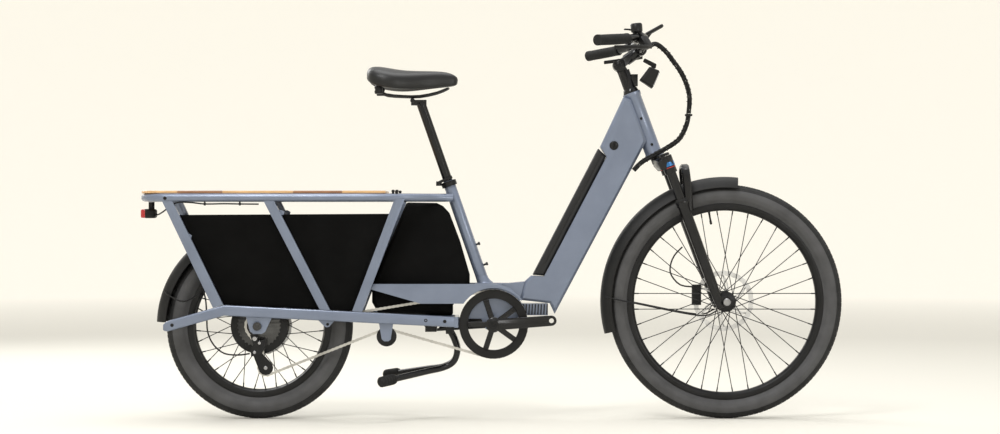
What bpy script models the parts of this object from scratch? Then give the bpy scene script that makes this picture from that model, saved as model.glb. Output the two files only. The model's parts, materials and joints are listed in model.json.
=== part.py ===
"""Longtail cargo e-bicycle: frame, rack, drive, wheels, fork, cockpit and stand as separate solids.

Metres. +X is forward, +Y is the rider's left, +Z is up. The origin is on the ground under the
middle of the bicycle. The drive side is the right side, at -Y.
"""
import math

import bmesh
import bpy
from mathutils import Matrix, Vector

GAP = 0.0003                       # left between pieces that touch

# Wheels
FRONT_AXLE = Vector((0.6815, 0.0, 0.3415))
FRONT_TYRE_RADIUS = 0.3415
FRONT_SEAT_RADIUS = 0.2768         # where the tyre sits in the rim
FRONT_RIM_RADIUS = 0.2650          # inner face of the rim
REAR_AXLE = Vector((-0.677, 0.0, 0.272))
REAR_TYRE_RADIUS = 0.272
REAR_SEAT_RADIUS = 0.2000
REAR_RIM_RADIUS = 0.1865
WHEEL_SEGMENTS = 36
SPOKES = 36
SPOKE_RADIUS = 0.0011

# Drive
BB = Vector((0.006, 0.0, 0.277))   # bottom bracket centre
CRANK_LENGTH = 0.1675
CRANK_LIFT = math.radians(4.0)     # the right crank points forward and a little up
CHAIN_Y = -0.049
CHAIN_PITCH_RADIUS = 0.097
CHAIN_HALF_HEIGHT = 0.0042
CHAIN_HALF_WIDTH = 0.0032
IDLER = Vector((-0.3046, CHAIN_Y, 0.2415))
IDLER_PITCH = 0.0215
JOCKEY_UPPER = Vector((-0.680, CHAIN_Y, 0.190))
JOCKEY_LOWER = Vector((-0.655, CHAIN_Y, 0.150))
JOCKEY_PITCH = 0.0175
JOCKEY_LOWER_PITCH = 0.0215
COG_PITCH = 0.0370
CHAIN_GUIDE = Vector((-0.385, CHAIN_Y, 0.3115))

# Steering: the axis leans back by STEER_TILT and passes through STEER_MIDDLE
STEER_TILT = math.radians(20.2)
STEER_MIDDLE = Vector((0.443, 0.0, 0.857))
STEER_UP = Vector((-math.sin(STEER_TILT), 0.0, math.cos(STEER_TILT)))
STEER_FORWARD = Vector((math.cos(STEER_TILT), 0.0, math.sin(STEER_TILT)))
HEAD_HALF_LENGTH = 0.1000
HEAD_RADIUS = 0.0245
LEG_FORWARD = 0.0243               # fork legs stand this far ahead of the steering axis
LEG_HALF_SPACING = 0.0600
STANCHION_RADIUS = 0.0140

# Seat
SEAT_TUBE_TOP = Vector((-0.127, 0.0, 0.693))
SEAT_TUBE_FOOT = Vector((-0.0265, 0.0, 0.4055))
SEAT_TUBE_RADIUS = 0.0172
SEATPOST_RADIUS = 0.0136
SEATPOST_HEAD = Vector((-0.2075, 0.0, 0.9235))

# Rack
RAIL_Z = 0.6443
RAIL_RADIUS = 0.0118
RAIL_HALF_SPACING = 0.110
RAIL_TAIL_X = -1.0070
DECK_FRONT_X = -0.305
DECK_TAIL_X = -1.0150
DECK_HALF_WIDTH = 0.1080
DECK_BOTTOM_Z = RAIL_Z + RAIL_RADIUS + GAP
DECK_TOP_Z = DECK_BOTTOM_Z + 0.0075
DECK_SEAMS = (-0.430, -0.571, -0.775, -0.905)

# Lower stays: centre line of each, as x, z, half spacing
STAY_TAIL = (-0.9473, 0.2692, 0.0830)
STAY_BEND = (-0.7716, 0.3185, 0.0830)
STAY_FRONT = (-0.1080, 0.2843, 0.0675)
STAY_HEIGHT = 0.0310
STAY_WIDTH = 0.0220

# Down tube and battery
TUBE_HALF_WIDTH = 0.0370
BATTERY_NORMAL = Vector((-0.882, 0.0, 0.471)).normalized()

# Cockpit
STEM_PIVOT = Vector((0.372, 0.0, 1.031))
BAR_CENTRE = Vector((0.435, 0.0, 1.076))
BAR_RADIUS = 0.0112
BAR_BORE = 0.0122                  # clears the facets of the bar
GRIP_RADIUS = 0.0155
STAND_PIVOT = Vector((-0.122, 0.0, 0.258))

PAINT = ("frame_paint", (0.235, 0.285, 0.385, 1.0), 0.55, 0.34)
BLACK_METAL = ("black_metal", (0.025, 0.025, 0.028, 1.0), 0.60, 0.40)
BLACK_PLASTIC = ("black_plastic", (0.018, 0.018, 0.018, 1.0), 0.00, 0.60)
RUBBER = ("rubber", (0.030, 0.030, 0.032, 1.0), 0.00, 0.80)
SILVER = ("silver_steel", (0.55, 0.55, 0.56, 1.0), 1.00, 0.30)
WOOD = ("deck_wood", (0.60, 0.36, 0.17, 1.0), 0.00, 0.55)
LEATHER = ("saddle_leather", (0.020, 0.020, 0.020, 1.0), 0.00, 0.45)
RED_LENS = ("red_lens", (0.45, 0.01, 0.01, 1.0), 0.00, 0.20)


# ---------------------------------------------------------------- making meshes

def clear_scene():
    for obj in list(bpy.data.objects):
        bpy.data.objects.remove(obj, do_unlink=True)


def make_material(finish):
    name, colour, metallic, roughness = finish
    material = bpy.data.materials.new(name)
    material.use_nodes = True
    shader = material.node_tree.nodes["Principled BSDF"]
    shader.inputs["Base Color"].default_value = colour
    shader.inputs["Metallic"].default_value = metallic
    shader.inputs["Roughness"].default_value = roughness
    return material


def add_object(name, bm, finish):
    """Turn a bmesh into a smooth-shaded object with its own material."""
    bmesh.ops.recalc_face_normals(bm, faces=bm.faces)
    mesh = bpy.data.meshes.new(name)
    bm.to_mesh(mesh)
    bm.free()
    mesh.materials.append(make_material(finish))
    mesh.shade_smooth()
    mesh.set_sharp_from_angle(angle=math.radians(35.0))
    obj = bpy.data.objects.new(name, mesh)
    bpy.context.scene.collection.objects.link(obj)
    return obj


def combine(target, tools, operation="UNION", self_crossing=False):
    """Join or cut a target with solids, one after another, and drop the tools."""
    for tool in tools:
        modifier = target.modifiers.new("combine", "BOOLEAN")
        modifier.operation = operation
        modifier.solver = "EXACT"
        modifier.use_self = self_crossing
        modifier.object = tool
        graph = bpy.context.evaluated_depsgraph_get()
        mesh = bpy.data.meshes.new_from_object(target.evaluated_get(graph))
        target.modifiers.clear()
        target.data = mesh
        bpy.data.objects.remove(tool, do_unlink=True)
    mesh = target.data
    while len(mesh.materials) > 1:
        mesh.materials.pop(index=len(mesh.materials) - 1)
    mesh.shade_smooth()
    mesh.set_sharp_from_angle(angle=math.radians(35.0))
    return target


def add_loft(bm, rings, closed=False):
    """Skin a list of rings of points. Open lofts get flat ends."""
    rows = [[bm.verts.new(point) for point in ring] for ring in rings]
    count = len(rows[0])
    pairs = list(zip(rows, rows[1:]))
    if closed:
        pairs.append((rows[-1], rows[0]))
    for first, second in pairs:
        for index in range(count):
            after = (index + 1) % count
            bm.faces.new((first[index], first[after], second[after], second[index]))
    if not closed:
        bm.faces.new(rows[0])
        bm.faces.new(list(reversed(rows[-1])))


def frames_along(points, normal):
    """Frames carried along a path without twist: point, normal, side."""
    frames = []
    last = len(points) - 1
    for index, point in enumerate(points):
        tangent = (points[min(index + 1, last)] - points[max(index - 1, 0)]).normalized()
        normal = (normal - tangent * normal.dot(tangent)).normalized()
        frames.append((point, normal, tangent.cross(normal)))
    return frames


def add_sweep(bm, points, section, normal, scales=None):
    """Sweep a flat section, given as normal and side offsets, along a path."""
    rings = []
    points = [Vector(point) for point in points]
    for index, (point, up, side) in enumerate(frames_along(points, Vector(normal))):
        scale = scales[index] if scales else 1.0
        rings.append([point + up * (a * scale) + side * (b * scale) for a, b in section])
    add_loft(bm, rings)


def circle(radius, sides):
    turn = 2.0 * math.pi / sides
    return [(radius * math.cos(i * turn), radius * math.sin(i * turn)) for i in range(sides)]


def rounded(width, height, corner, steps=2):
    """A rectangle with round corners, as (a, b) pairs; width runs along a."""
    points = []
    for sign_a, sign_b, start in ((1, 1, 0), (-1, 1, 90), (-1, -1, 180), (1, -1, 270)):
        centre_a = sign_a * (width / 2 - corner)
        centre_b = sign_b * (height / 2 - corner)
        for step in range(steps + 1):
            angle = math.radians(start + 90.0 * step / steps)
            points.append((centre_a + corner * math.cos(angle), centre_b + corner * math.sin(angle)))
    return points


def smooth_path(points, steps=4):
    """Points on a smooth curve through the given points."""
    points = [Vector(point) for point in points]
    padded = [2 * points[0] - points[1]] + points + [2 * points[-1] - points[-2]]
    result = []
    for index in range(1, len(padded) - 2):
        p0, p1, p2, p3 = padded[index - 1:index + 3]
        for step in range(steps):
            t = step / steps
            result.append(0.5 * (2 * p1 + (p2 - p0) * t + (2 * p0 - 5 * p1 + 4 * p2 - p3) * t * t
                                 + (3 * p1 - p0 - 3 * p2 + p3) * t ** 3))
    result.append(points[-1])
    return result


def tube(name, points, radius, finish, sides=12, scales=None):
    bm = bmesh.new()
    add_sweep(bm, points, circle(radius, sides), (0.013, 0.021, 1.0), scales)
    return add_object(name, bm, finish)


def bar(name, points, section, normal, finish, scales=None):
    bm = bmesh.new()
    add_sweep(bm, points, section, normal, scales)
    return add_object(name, bm, finish)


def lathe_rings(profile, centre, axis, segments, start=0.0, sweep=360.0):
    """Rings of a turned shape. The profile is (radius, offset along the axis)."""
    axis = Vector(axis).normalized()
    reference = Vector((1, 0, 0)) if abs(axis.x) < 0.9 else Vector((0, 0, 1))
    first = (reference - axis * reference.dot(axis)).normalized()
    second = axis.cross(first)
    rings = []
    steps = segments if sweep >= 360.0 else segments + 1
    for index in range(steps):
        angle = math.radians(start + sweep * index / segments)
        ray = first * math.cos(angle) + second * math.sin(angle)
        rings.append([centre + ray * radius + axis * offset for radius, offset in profile])
    return rings


def add_ring(bm, profile, centre, axis=(0, -1, 0), segments=32, start=0.0, sweep=360.0):
    """A turned solid with a hole in its middle: the profile is a closed outline."""
    rings = lathe_rings(profile, centre, axis, segments, start, sweep)
    add_loft(bm, rings, closed=sweep >= 360.0)


def add_disc(bm, profile, centre, axis=(0, -1, 0), segments=24):
    """A turned solid without a hole: the profile runs from one flat end to the other."""
    axis = Vector(axis).normalized()
    reference = Vector((1, 0, 0)) if abs(axis.x) < 0.9 else Vector((0, 0, 1))
    first = (reference - axis * reference.dot(axis)).normalized()
    second = axis.cross(first)
    rings = []
    for radius, offset in profile:
        ring = []
        for index in range(segments):
            angle = 2.0 * math.pi * index / segments
            ring.append(centre + (first * math.cos(angle) + second * math.sin(angle)) * radius
                        + axis * offset)
        rings.append(ring)
    add_loft(bm, rings)


def disc(name, profile, centre, axis, finish, segments=24):
    bm = bmesh.new()
    add_disc(bm, profile, Vector(centre), axis, segments)
    return add_object(name, bm, finish)


def ring(name, profile, centre, finish, axis=(0, -1, 0), segments=32, start=0.0, sweep=360.0):
    bm = bmesh.new()
    add_ring(bm, profile, Vector(centre), axis, segments, start, sweep)
    return add_object(name, bm, finish)


def rod(name, start, end, radius, finish, sides=16):
    """A straight round bar between two points."""
    start = Vector(start)
    end = Vector(end)
    return disc(name, [(radius, 0.0), (radius, (end - start).length)], start, end - start, finish,
                sides)


def add_plate(bm, outline, y_start, y_end, lean=0.0, lean_from=0.0):
    """Extrude an outline in the X-Z plane between two Y values, leaning out with height."""
    rings = []
    for y in (y_start, y_end):
        rings.append([Vector((x, y + lean * (z - lean_from), z)) for x, z in outline])
    add_loft(bm, rings)


def plate(name, outline, y_start, y_end, finish, lean=0.0, lean_from=0.0):
    bm = bmesh.new()
    add_plate(bm, outline, y_start, y_end, lean, lean_from)
    return add_object(name, bm, finish)


def box(name, low, high, finish):
    outline = [(low[0], low[2]), (high[0], low[2]), (high[0], high[2]), (low[0], high[2])]
    return plate(name, outline, low[1], high[1], finish)


def arc(centre, radius, start, end, steps):
    """Points (x, z) on an arc; angles in degrees from +X towards +Z."""
    points = []
    for step in range(steps + 1):
        angle = math.radians(start + (end - start) * step / steps)
        points.append((centre[0] + radius * math.cos(angle), centre[1] + radius * math.sin(angle)))
    return points


def mirrored(outline_or_points):
    return [Vector((p[0], -p[1], p[2])) for p in outline_or_points]


def pivot(name, location, pieces):
    """An empty on a joint's axis that carries the moving pieces."""
    empty = bpy.data.objects.new(name, None)
    empty.location = location
    bpy.context.scene.collection.objects.link(empty)
    for piece in pieces:
        piece.parent = empty
        piece.location = -Vector(location)
    return empty


def on_steer_axis(distance, forward=0.0, side=0.0):
    """A point measured along the steering axis, up from the middle of the head tube."""
    return STEER_MIDDLE + STEER_UP * distance + STEER_FORWARD * forward + Vector((0, side, 0))


# ---------------------------------------------------------------- wheels

def tyre_profile(outer, seat, half_width, bead_half_width, steps=6):
    """A round casing on two bead walls, as (radius, offset)."""
    half_height = (outer - seat - 0.0095) * 0.535
    middle = outer - half_height
    profile = [(seat, -bead_half_width + 0.0003), (seat + 0.0098, -bead_half_width)]
    for step in range(steps + 1):
        angle = math.radians(-128.0 + 256.0 * step / steps)
        profile.append((middle + half_height * math.cos(angle), half_width * math.sin(angle)))
    profile += [(seat + 0.0098, bead_half_width), (seat, bead_half_width - 0.0003)]
    return profile


def rim_profile(inner, seat, bead_half_width):
    """A channel with two flanges that hold the tyre, as (radius, offset)."""
    floor = seat - GAP
    edge = seat + 0.0095
    wall = bead_half_width + GAP
    outer = wall + 0.0026
    half = [(inner, 0.0075), (inner + 0.005, outer - 0.002), (edge, outer), (edge, wall), (floor, wall)]
    return [(r, -y) for r, y in half] + [(r, y) for r, y in reversed(half)]


def add_spokes(bm, axle, hub_radius, hub_half, rim_radius, swing):
    """Laced spokes; heads sit on both sides of each flange, ends just short of the rim."""
    per_side = SPOKES // 2
    pitch = 360.0 / per_side
    for side in (-1, 1):
        for index in range(per_side):
            hub_angle = math.radians(index * pitch + (0.0 if side < 0 else pitch))
            lead = 1 if index % 2 else -1
            rim_angle = hub_angle - math.radians(lead * swing)
            start = axle + Vector((hub_radius * math.cos(hub_angle), side * hub_half + lead * 0.0030,
                                   hub_radius * math.sin(hub_angle)))
            end = axle + Vector((rim_radius * math.cos(rim_angle), side * 0.0022,
                                 rim_radius * math.sin(rim_angle)))
            add_sweep(bm, [start, end], circle(SPOKE_RADIUS, 3), (0, 1, 0.01))


def make_wheel(prefix, axle, outer, seat, rim_inner, half_width, bead, hub_radius, hub_half, swing):
    tyre = ring(prefix + "_tyre", tyre_profile(outer, seat, half_width, bead), axle, RUBBER,
                segments=WHEEL_SEGMENTS)
    rim = ring(prefix + "_rim", rim_profile(rim_inner, seat, bead), axle, BLACK_METAL, segments=WHEEL_SEGMENTS)
    bm = bmesh.new()
    add_spokes(bm, axle, hub_radius, hub_half, rim_inner * math.cos(math.pi / WHEEL_SEGMENTS) - 0.0006, swing)
    spokes = add_object(prefix + "_spokes", bm, BLACK_METAL)
    inner = rim_inner - 0.0030
    outer = rim_inner - GAP
    band = ring("nipple_band", [(inner, -0.0045), (outer, -0.0045), (outer, 0.0045), (inner, 0.0045)],
                axle, BLACK_METAL, segments=WHEEL_SEGMENTS)
    combine(spokes, [band], self_crossing=True)
    return [tyre, rim, spokes]


def rotor_solids(axle, y_centre):
    """A brake disc: outer band and six arms, as solids to be joined to a hub."""
    half = 0.0009
    band = ring("rotor_band", [(0.073, -half), (0.090, -half), (0.090, half), (0.073, half)],
                axle + Vector((0, y_centre, 0)), SILVER, axis=(0, 1, 0), segments=24)
    arms = []
    for index in range(5):
        angle = math.radians(72.0 * index)
        direction = Vector((math.cos(angle + 0.35), 0, math.sin(angle + 0.35)))
        start = axle + Vector((0.018 * math.cos(angle), y_centre, 0.018 * math.sin(angle)))
        end = axle + Vector((0, y_centre, 0)) + direction * 0.0745
        arms.append(bar("rotor_arm", [start, end], rounded(0.0017, 0.010, 0.0003, 1), (0, 1, 0), SILVER))
    return [band] + arms


def make_front_wheel():
    pieces = make_wheel("front", FRONT_AXLE, FRONT_TYRE_RADIUS, FRONT_SEAT_RADIUS, FRONT_RIM_RADIUS,
                        0.0300, 0.0146, 0.0298, 0.0330, 55.0)
    profile = [(0.0070, -0.0460), (0.0115, -0.0460), (0.0150, -0.0350), (0.0300, -0.0342),
               (0.0300, -0.0318), (0.0150, -0.0300), (0.0125, -0.0200), (0.0125, 0.0200),
               (0.0150, 0.0300), (0.0300, 0.0318), (0.0300, 0.0342), (0.0200, 0.0352),
               (0.0200, 0.0420), (0.0115, 0.0460), (0.0070, 0.0460)]
    hub = ring("front_hub", profile, FRONT_AXLE, BLACK_METAL, axis=(0, 1, 0), segments=16)
    combine(hub, rotor_solids(FRONT_AXLE, 0.0395))
    pieces.append(hub)
    pivot("front_wheel_axis", FRONT_AXLE, pieces)


def make_rear_wheel():
    pieces = make_wheel("rear", REAR_AXLE, REAR_TYRE_RADIUS, REAR_SEAT_RADIUS, REAR_RIM_RADIUS,
                        0.0335, 0.0185, 0.0828, 0.0235, 15.0)
    profile = [(0.0072, -0.0280), (0.0300, -0.0280), (0.0680, -0.0262), (0.0740, -0.0247),
               (0.0830, -0.0247), (0.0830, -0.0223), (0.0740, -0.0200), (0.0740, 0.0200),
               (0.0830, 0.0223), (0.0830, 0.0247), (0.0740, 0.0247), (0.0680, 0.0290),
               (0.0300, 0.0400), (0.0220, 0.0500), (0.0220, 0.0560), (0.0072, 0.0600)]
    hub = ring("hub_motor", profile, REAR_AXLE, BLACK_METAL, axis=(0, 1, 0), segments=24)
    combine(hub, rotor_solids(REAR_AXLE, 0.0535))
    pieces.append(hub)
    pivot("rear_wheel_axis", REAR_AXLE, pieces)


def make_rear_axle():
    """Fixed axle with a spacer inside and a nut outside each dropout."""
    shaft = 0.0058
    half = [(shaft, 0.0653), (0.0100, 0.0653), (0.0100, 0.0733), (shaft, 0.0733), (shaft, 0.0820),
            (0.0125, 0.0820), (0.0125, 0.0915), (shaft, 0.0915), (shaft, 0.0950)]
    profile = [(radius, -y) for radius, y in reversed(half)] + half
    disc("rear_axle", profile, REAR_AXLE, (0, 1, 0), SILVER, 12)


# ---------------------------------------------------------------- frame

def stay_line(x):
    """Height of a lower stay's centre line, and its half spacing, at an x."""
    if x < STAY_BEND[0]:
        first, second = STAY_TAIL, STAY_BEND
    else:
        first, second = STAY_BEND, STAY_FRONT
    t = (x - first[0]) / (second[0] - first[0])
    return first[1] + t * (second[1] - first[1]), first[2] + t * (second[2] - first[2])


def stay_top(x):
    height, spacing = stay_line(x)
    return height + STAY_HEIGHT / 2 * (1.038 if x < STAY_BEND[0] else 1.0014)


def make_lower_stay(name, side):
    rings = []
    stations = [(STAY_TAIL[0], 0.55), (STAY_TAIL[0] + 0.008, 0.90), (STAY_TAIL[0] + 0.018, 1.0),
                (-0.800, 1.0), (-0.772, 1.0), (-0.740, 1.0), (STAY_FRONT[0], 1.0)]
    for x, scale in stations:
        z, y = stay_line(x)
        rings.append([Vector((x, side * (y + b), z + a * scale))
                      for a, b in rounded(STAY_HEIGHT, STAY_WIDTH, 0.005)])
    bm = bmesh.new()
    add_loft(bm, rings)
    stay = add_object(name, bm, PAINT)
    dropout = [(-0.7120, 0.3080), (-0.6310, 0.3060), (-0.6540, 0.2560), (-0.6640, 0.2500),
               (-0.6880, 0.2500), (-0.6980, 0.2580)]
    solids = [plate("dropout", dropout, side * 0.0737, side * 0.0815, PAINT)]
    if side < 0:
        tab = [(-0.3270, 0.2860), (-0.2840, 0.2840), (-0.2920, 0.2330), (-0.2985, 0.2280),
               (-0.3110, 0.2280), (-0.3180, 0.2340)]
        solids.append(plate("tab", tab, -0.0585, -0.0665, PAINT))
        solids.append(rod("pin", (IDLER.x, -0.0600, IDLER.z), (IDLER.x, -0.0425, IDLER.z), 0.0034, SILVER))
    combine(stay, solids)
    bore = rod("bore", REAR_AXLE + Vector((0, side * 0.060, 0)), REAR_AXLE + Vector((0, side * 0.100, 0)),
               0.0062, SILVER)
    return combine(stay, [bore], "DIFFERENCE")


def make_upper_stays():
    """Box stays that pass outside the chain and arch over the chainring."""
    centre = (BB.x, BB.z)
    outline = [(-0.3482, 0.3785), (-0.2042, 0.3372)]
    outline += arc(centre, 0.1060, 145.4, 40.0, 14)
    outline += arc(centre, 0.1100, 41.0, 52.0, 2)
    outline += arc(centre, 0.1150, 64.0, 78.0, 2)
    outline += [(0.0072, 0.3941), (-0.3425, 0.3941)]
    solids = []
    for side in (-1, 1):
        solids.append(plate("stay", outline, side * 0.0590, side * 0.0765, PAINT))
        low, high = sorted((side * 0.0290, side * 0.0600))
        solids.append(box("web", (-0.0400, low, 0.3845), (0.0300, high, 0.3936), PAINT))
    return solids


def make_yoke():
    """The casting that holds the bottom bracket, with a cross bar and the controller housing."""
    body = [(-0.0480, 0.3960), (-0.0430, 0.3600), (-0.0760, 0.3220), (-0.0880, 0.3000),
            (-0.0880, 0.2920), (-0.0300, 0.2920), (-0.0170, 0.2620), (0.0060, 0.2540),
            (0.0290, 0.2620), (0.0600, 0.2880), (0.0905, 0.3020), (0.0880, 0.3370),
            (0.0820, 0.3465), (0.0962, 0.4000), (0.0500, 0.3955)]
    yoke = plate("bottom_bracket_yoke", body, -0.0300, 0.0300, PAINT)
    solids = [box("cross_bar", (-0.1077, -0.0785, 0.2680), (-0.0965, 0.0785, 0.2990), PAINT),
              box("link", (-0.0980, -0.0250, 0.2720), (-0.0700, 0.0250, 0.2960), PAINT),
              rod("shell", BB + Vector((0, -0.0345, 0)), BB + Vector((0, 0.0345, 0)), 0.0225, PAINT, 24),
              box("housing", (0.0850, -0.0330, 0.3020), (0.1640, 0.0330, 0.3362), BLACK_METAL)]
    combine(yoke, solids + make_upper_stays())
    bore = rod("bore", BB + Vector((0, -0.040, 0)), BB + Vector((0, 0.040, 0)), 0.0128, PAINT, 24)
    combine(yoke, [bore], "DIFFERENCE")


def make_front_frame():
    """Head tube and the box-section down tube with its battery pocket, welded into one."""
    outline = [(0.3850, 0.9380), (0.3145, 0.7880), (0.1175, 0.4190), (0.0967, 0.4004),
               (0.0826, 0.3467), (0.1690, 0.3372), (0.1836, 0.3060), (0.4360, 0.7810),
               (0.4500, 0.8100), (0.4050, 0.9300)]
    front_frame = bevelled_plate("front_frame", outline, TUBE_HALF_WIDTH, 0.007, PAINT)
    battery_cut = [(0.2500, 0.8200), (0.3170, 0.7930), (0.3348, 0.7630), (0.1530, 0.4150),
                   (0.1130, 0.4170), (0.0500, 0.4800)]
    pocket = [(0.3120, 0.7620), (0.3520, 0.7400), (0.1870, 0.4250), (0.1450, 0.4460)]
    cutters = [plate("battery_cut", battery_cut, -0.050, 0.050, PAINT),
               plate("pocket", pocket, -0.0270, 0.0270, PAINT),
               rod("lock_cut", (0.3560, -0.0500, 0.7960), (0.3560, -0.0290, 0.7960), 0.0134, PAINT, 20)]
    combine(front_frame, cutters, "DIFFERENCE")
    combine(front_frame, [head_sleeve()])
    bore = rod("head_bore", on_steer_axis(-0.20), on_steer_axis(0.20), 0.0165, PAINT, 24)
    return combine(front_frame, [bore], "DIFFERENCE")


def bevelled_plate(name, outline, half_width, bevel, finish):
    """A box-section tube seen from the side: its long edges are cut at 45 degrees."""
    bm = bmesh.new()
    inner = inset_outline(outline, bevel)
    rings = []
    for y, points in ((-half_width, inner), (-half_width + bevel, outline),
                      (half_width - bevel, outline), (half_width, inner)):
        rings.append([Vector((x, y, z)) for x, z in points])
    add_loft(bm, rings)
    return add_object(name, bm, finish)


def inset_outline(outline, amount):
    """Move each corner of an outline inwards by the same distance from both its sides."""
    area = sum(a[0] * b[1] - b[0] * a[1] for a, b in zip(outline, outline[1:] + outline[:1]))
    turn = 1.0 if area > 0 else -1.0
    result = []
    for index, point in enumerate(outline):
        before = Vector(outline[index - 1])
        here = Vector(point)
        after = Vector(outline[(index + 1) % len(outline)])
        first = (here - before).normalized()
        second = (after - here).normalized()
        first_normal = Vector((-first.y, first.x)) * turn
        second_normal = Vector((-second.y, second.x)) * turn
        middle = (first_normal + second_normal)
        middle /= max(middle.dot(first_normal), 0.35)
        result.append(tuple(here + middle * amount))
    return result


def make_battery():
    slab = [(0.3108, 0.7876), (0.3336, 0.7644), (0.1530, 0.4168), (0.1195, 0.4196)]
    battery = bevelled_plate("battery_pack", slab, TUBE_HALF_WIDTH - 0.0010, 0.006, BLACK_PLASTIC)
    tongue = [(0.3060, 0.7650), (0.3508, 0.7400), (0.1866, 0.4270), (0.1460, 0.4470)]
    combine(battery, [plate("tongue", tongue, -0.0262, 0.0262, BLACK_PLASTIC)])
    pivot("battery_axis", (0.2250, 0.0, 0.6000), [battery])
    lock_centre = Vector((0.3560, -0.0296, 0.7960))
    lock = disc("battery_lock", [(0.0128, 0.0), (0.0128, 0.0085), (0.0100, 0.0100)], lock_centre,
                (0, -1, 0), BLACK_METAL, 20)
    slot = box("key_slot", (0.3550, -0.0420, 0.7900), (0.3570, -0.0360, 0.8020), BLACK_METAL)
    combine(lock, [slot], "DIFFERENCE")
    pivot("battery_lock_axis", lock_centre, [lock])


def head_sleeve():
    """The head tube with its bearing cups, still solid."""
    half = HEAD_HALF_LENGTH
    profile = [(0.0270, -half), (0.0270, -half + 0.010), (HEAD_RADIUS, -half + 0.014),
               (HEAD_RADIUS, half - 0.014), (0.0265, half - 0.010), (0.0265, half)]
    return disc("head_sleeve", profile, STEER_MIDDLE, STEER_UP, PAINT, 24)


def make_seat_tube():
    direction = (SEAT_TUBE_TOP - SEAT_TUBE_FOOT).normalized()
    tube_body = rod("seat_tube", SEAT_TUBE_FOOT, SEAT_TUBE_TOP, SEAT_TUBE_RADIUS, PAINT, 24)
    bore = rod("bore", SEAT_TUBE_TOP - direction * 0.270, SEAT_TUBE_TOP + direction * 0.020, 0.0140,
               PAINT, 24)
    combine(tube_body, [bore], "DIFFERENCE")
    collar_start = SEAT_TUBE_TOP - direction * 0.016
    collar = ring("seat_clamp_collar", [(0.0176, 0.0), (0.0225, 0.0), (0.0225, 0.0150), (0.0176, 0.0150)],
                  collar_start, BLACK_METAL, axis=direction, segments=24)
    lug = box("lug", (-0.1620, -0.0085, 0.6790), (-0.1456, 0.0085, 0.6920), BLACK_METAL)
    combine(collar, [lug])
    make_clamp_lever()


def make_clamp_lever():
    centre = Vector((-0.1550, 0.0, 0.6855))
    bolt = rod("seat_clamp_lever", centre + Vector((0, -0.0290, 0)), centre + Vector((0, -0.0090, 0)),
               0.0050, BLACK_METAL)
    blade_path = [centre + Vector((-0.004, -0.0240, 0.0)), centre + Vector((0.012, -0.0250, 0.008)),
                  centre + Vector((0.040, -0.0270, 0.020))]
    blade = bar("blade", blade_path, rounded(0.008, 0.006, 0.0015, 1), (0, 0, 1), BLACK_METAL)
    combine(bolt, [blade])
    pivot("seat_clamp_axis", centre, [bolt])


def make_rack():
    half = RAIL_HALF_SPACING
    corner = 0.070
    right = [(-0.113, -0.0290), (-0.150, -0.0340), (-0.190, -0.0620), (-0.232, -0.0950), (-0.280, -0.1085),
             (-0.330, -half)]
    tail = arc((RAIL_TAIL_X + corner, -(half - corner)), corner, 270.0, 180.0, 4)
    plan = right + [(-0.620, -half)] + tail
    plan += [(x, -y) for x, y in reversed(plan)]
    rail = tube("rack_frame", [(x, y, RAIL_Z) for x, y in plan], RAIL_RADIUS, PAINT, 10)
    bars = []
    for x in (-0.930, -0.640, -0.350):
        bars.append(rod("cross", (x, -half, RAIL_Z), (x, half, RAIL_Z), 0.0080, PAINT, 10))
    combine(rail, bars + make_struts())
    make_deck()


def make_deck():
    """Wooden deck of five boards edge to edge, with round corners at the tail."""
    groove = 0.0015
    stations = [(DECK_FRONT_X, DECK_HALF_WIDTH, DECK_TOP_Z)]
    for x in DECK_SEAMS:
        stations += [(x + groove, DECK_HALF_WIDTH, DECK_TOP_Z), (x, DECK_HALF_WIDTH, DECK_TOP_Z - groove),
                     (x - groove, DECK_HALF_WIDTH, DECK_TOP_Z)]
    corner = 0.060
    for x, y in arc((DECK_TAIL_X + corner, DECK_HALF_WIDTH - corner), corner, 90.0, 180.0, 5):
        stations.append((x, y, DECK_TOP_Z))
    rings = [[Vector((x, -half, DECK_BOTTOM_Z)), Vector((x, half, DECK_BOTTOM_Z)), Vector((x, half, top)),
              Vector((x, -half, top))] for x, half, top in stations]
    bm = bmesh.new()
    add_loft(bm, rings)
    add_object("deck_board", bm, WOOD)


def make_struts():
    """Three flat tubes per side, from inside the rack rail down to the lower stay."""
    struts = []
    for side in (-1, 1):
        for top_x, foot_x in ((-0.9356, -0.7890), (-0.6435, -0.4810), (-0.2640, -0.3885)):
            slope = math.hypot(top_x - foot_x, RAIL_Z - stay_top(foot_x)) / (RAIL_Z - stay_top(foot_x))
            half = 0.0135 * slope
            rings = []
            for x, centre_y, lift in ((foot_x, stay_line(foot_x)[1], None), (top_x, 0.1080, RAIL_Z - 0.004)):
                corners = []
                for dx, dy in ((-half, -0.008), (half, -0.008), (half, 0.008), (-half, 0.008)):
                    z = lift if lift else stay_top(x + dx) + GAP
                    corners.append(Vector((x + dx, side * (centre_y + dy), z)))
                rings.append(corners)
            bm = bmesh.new()
            add_loft(bm, rings)
            struts.append(add_object("strut", bm, PAINT))
    return struts


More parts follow.
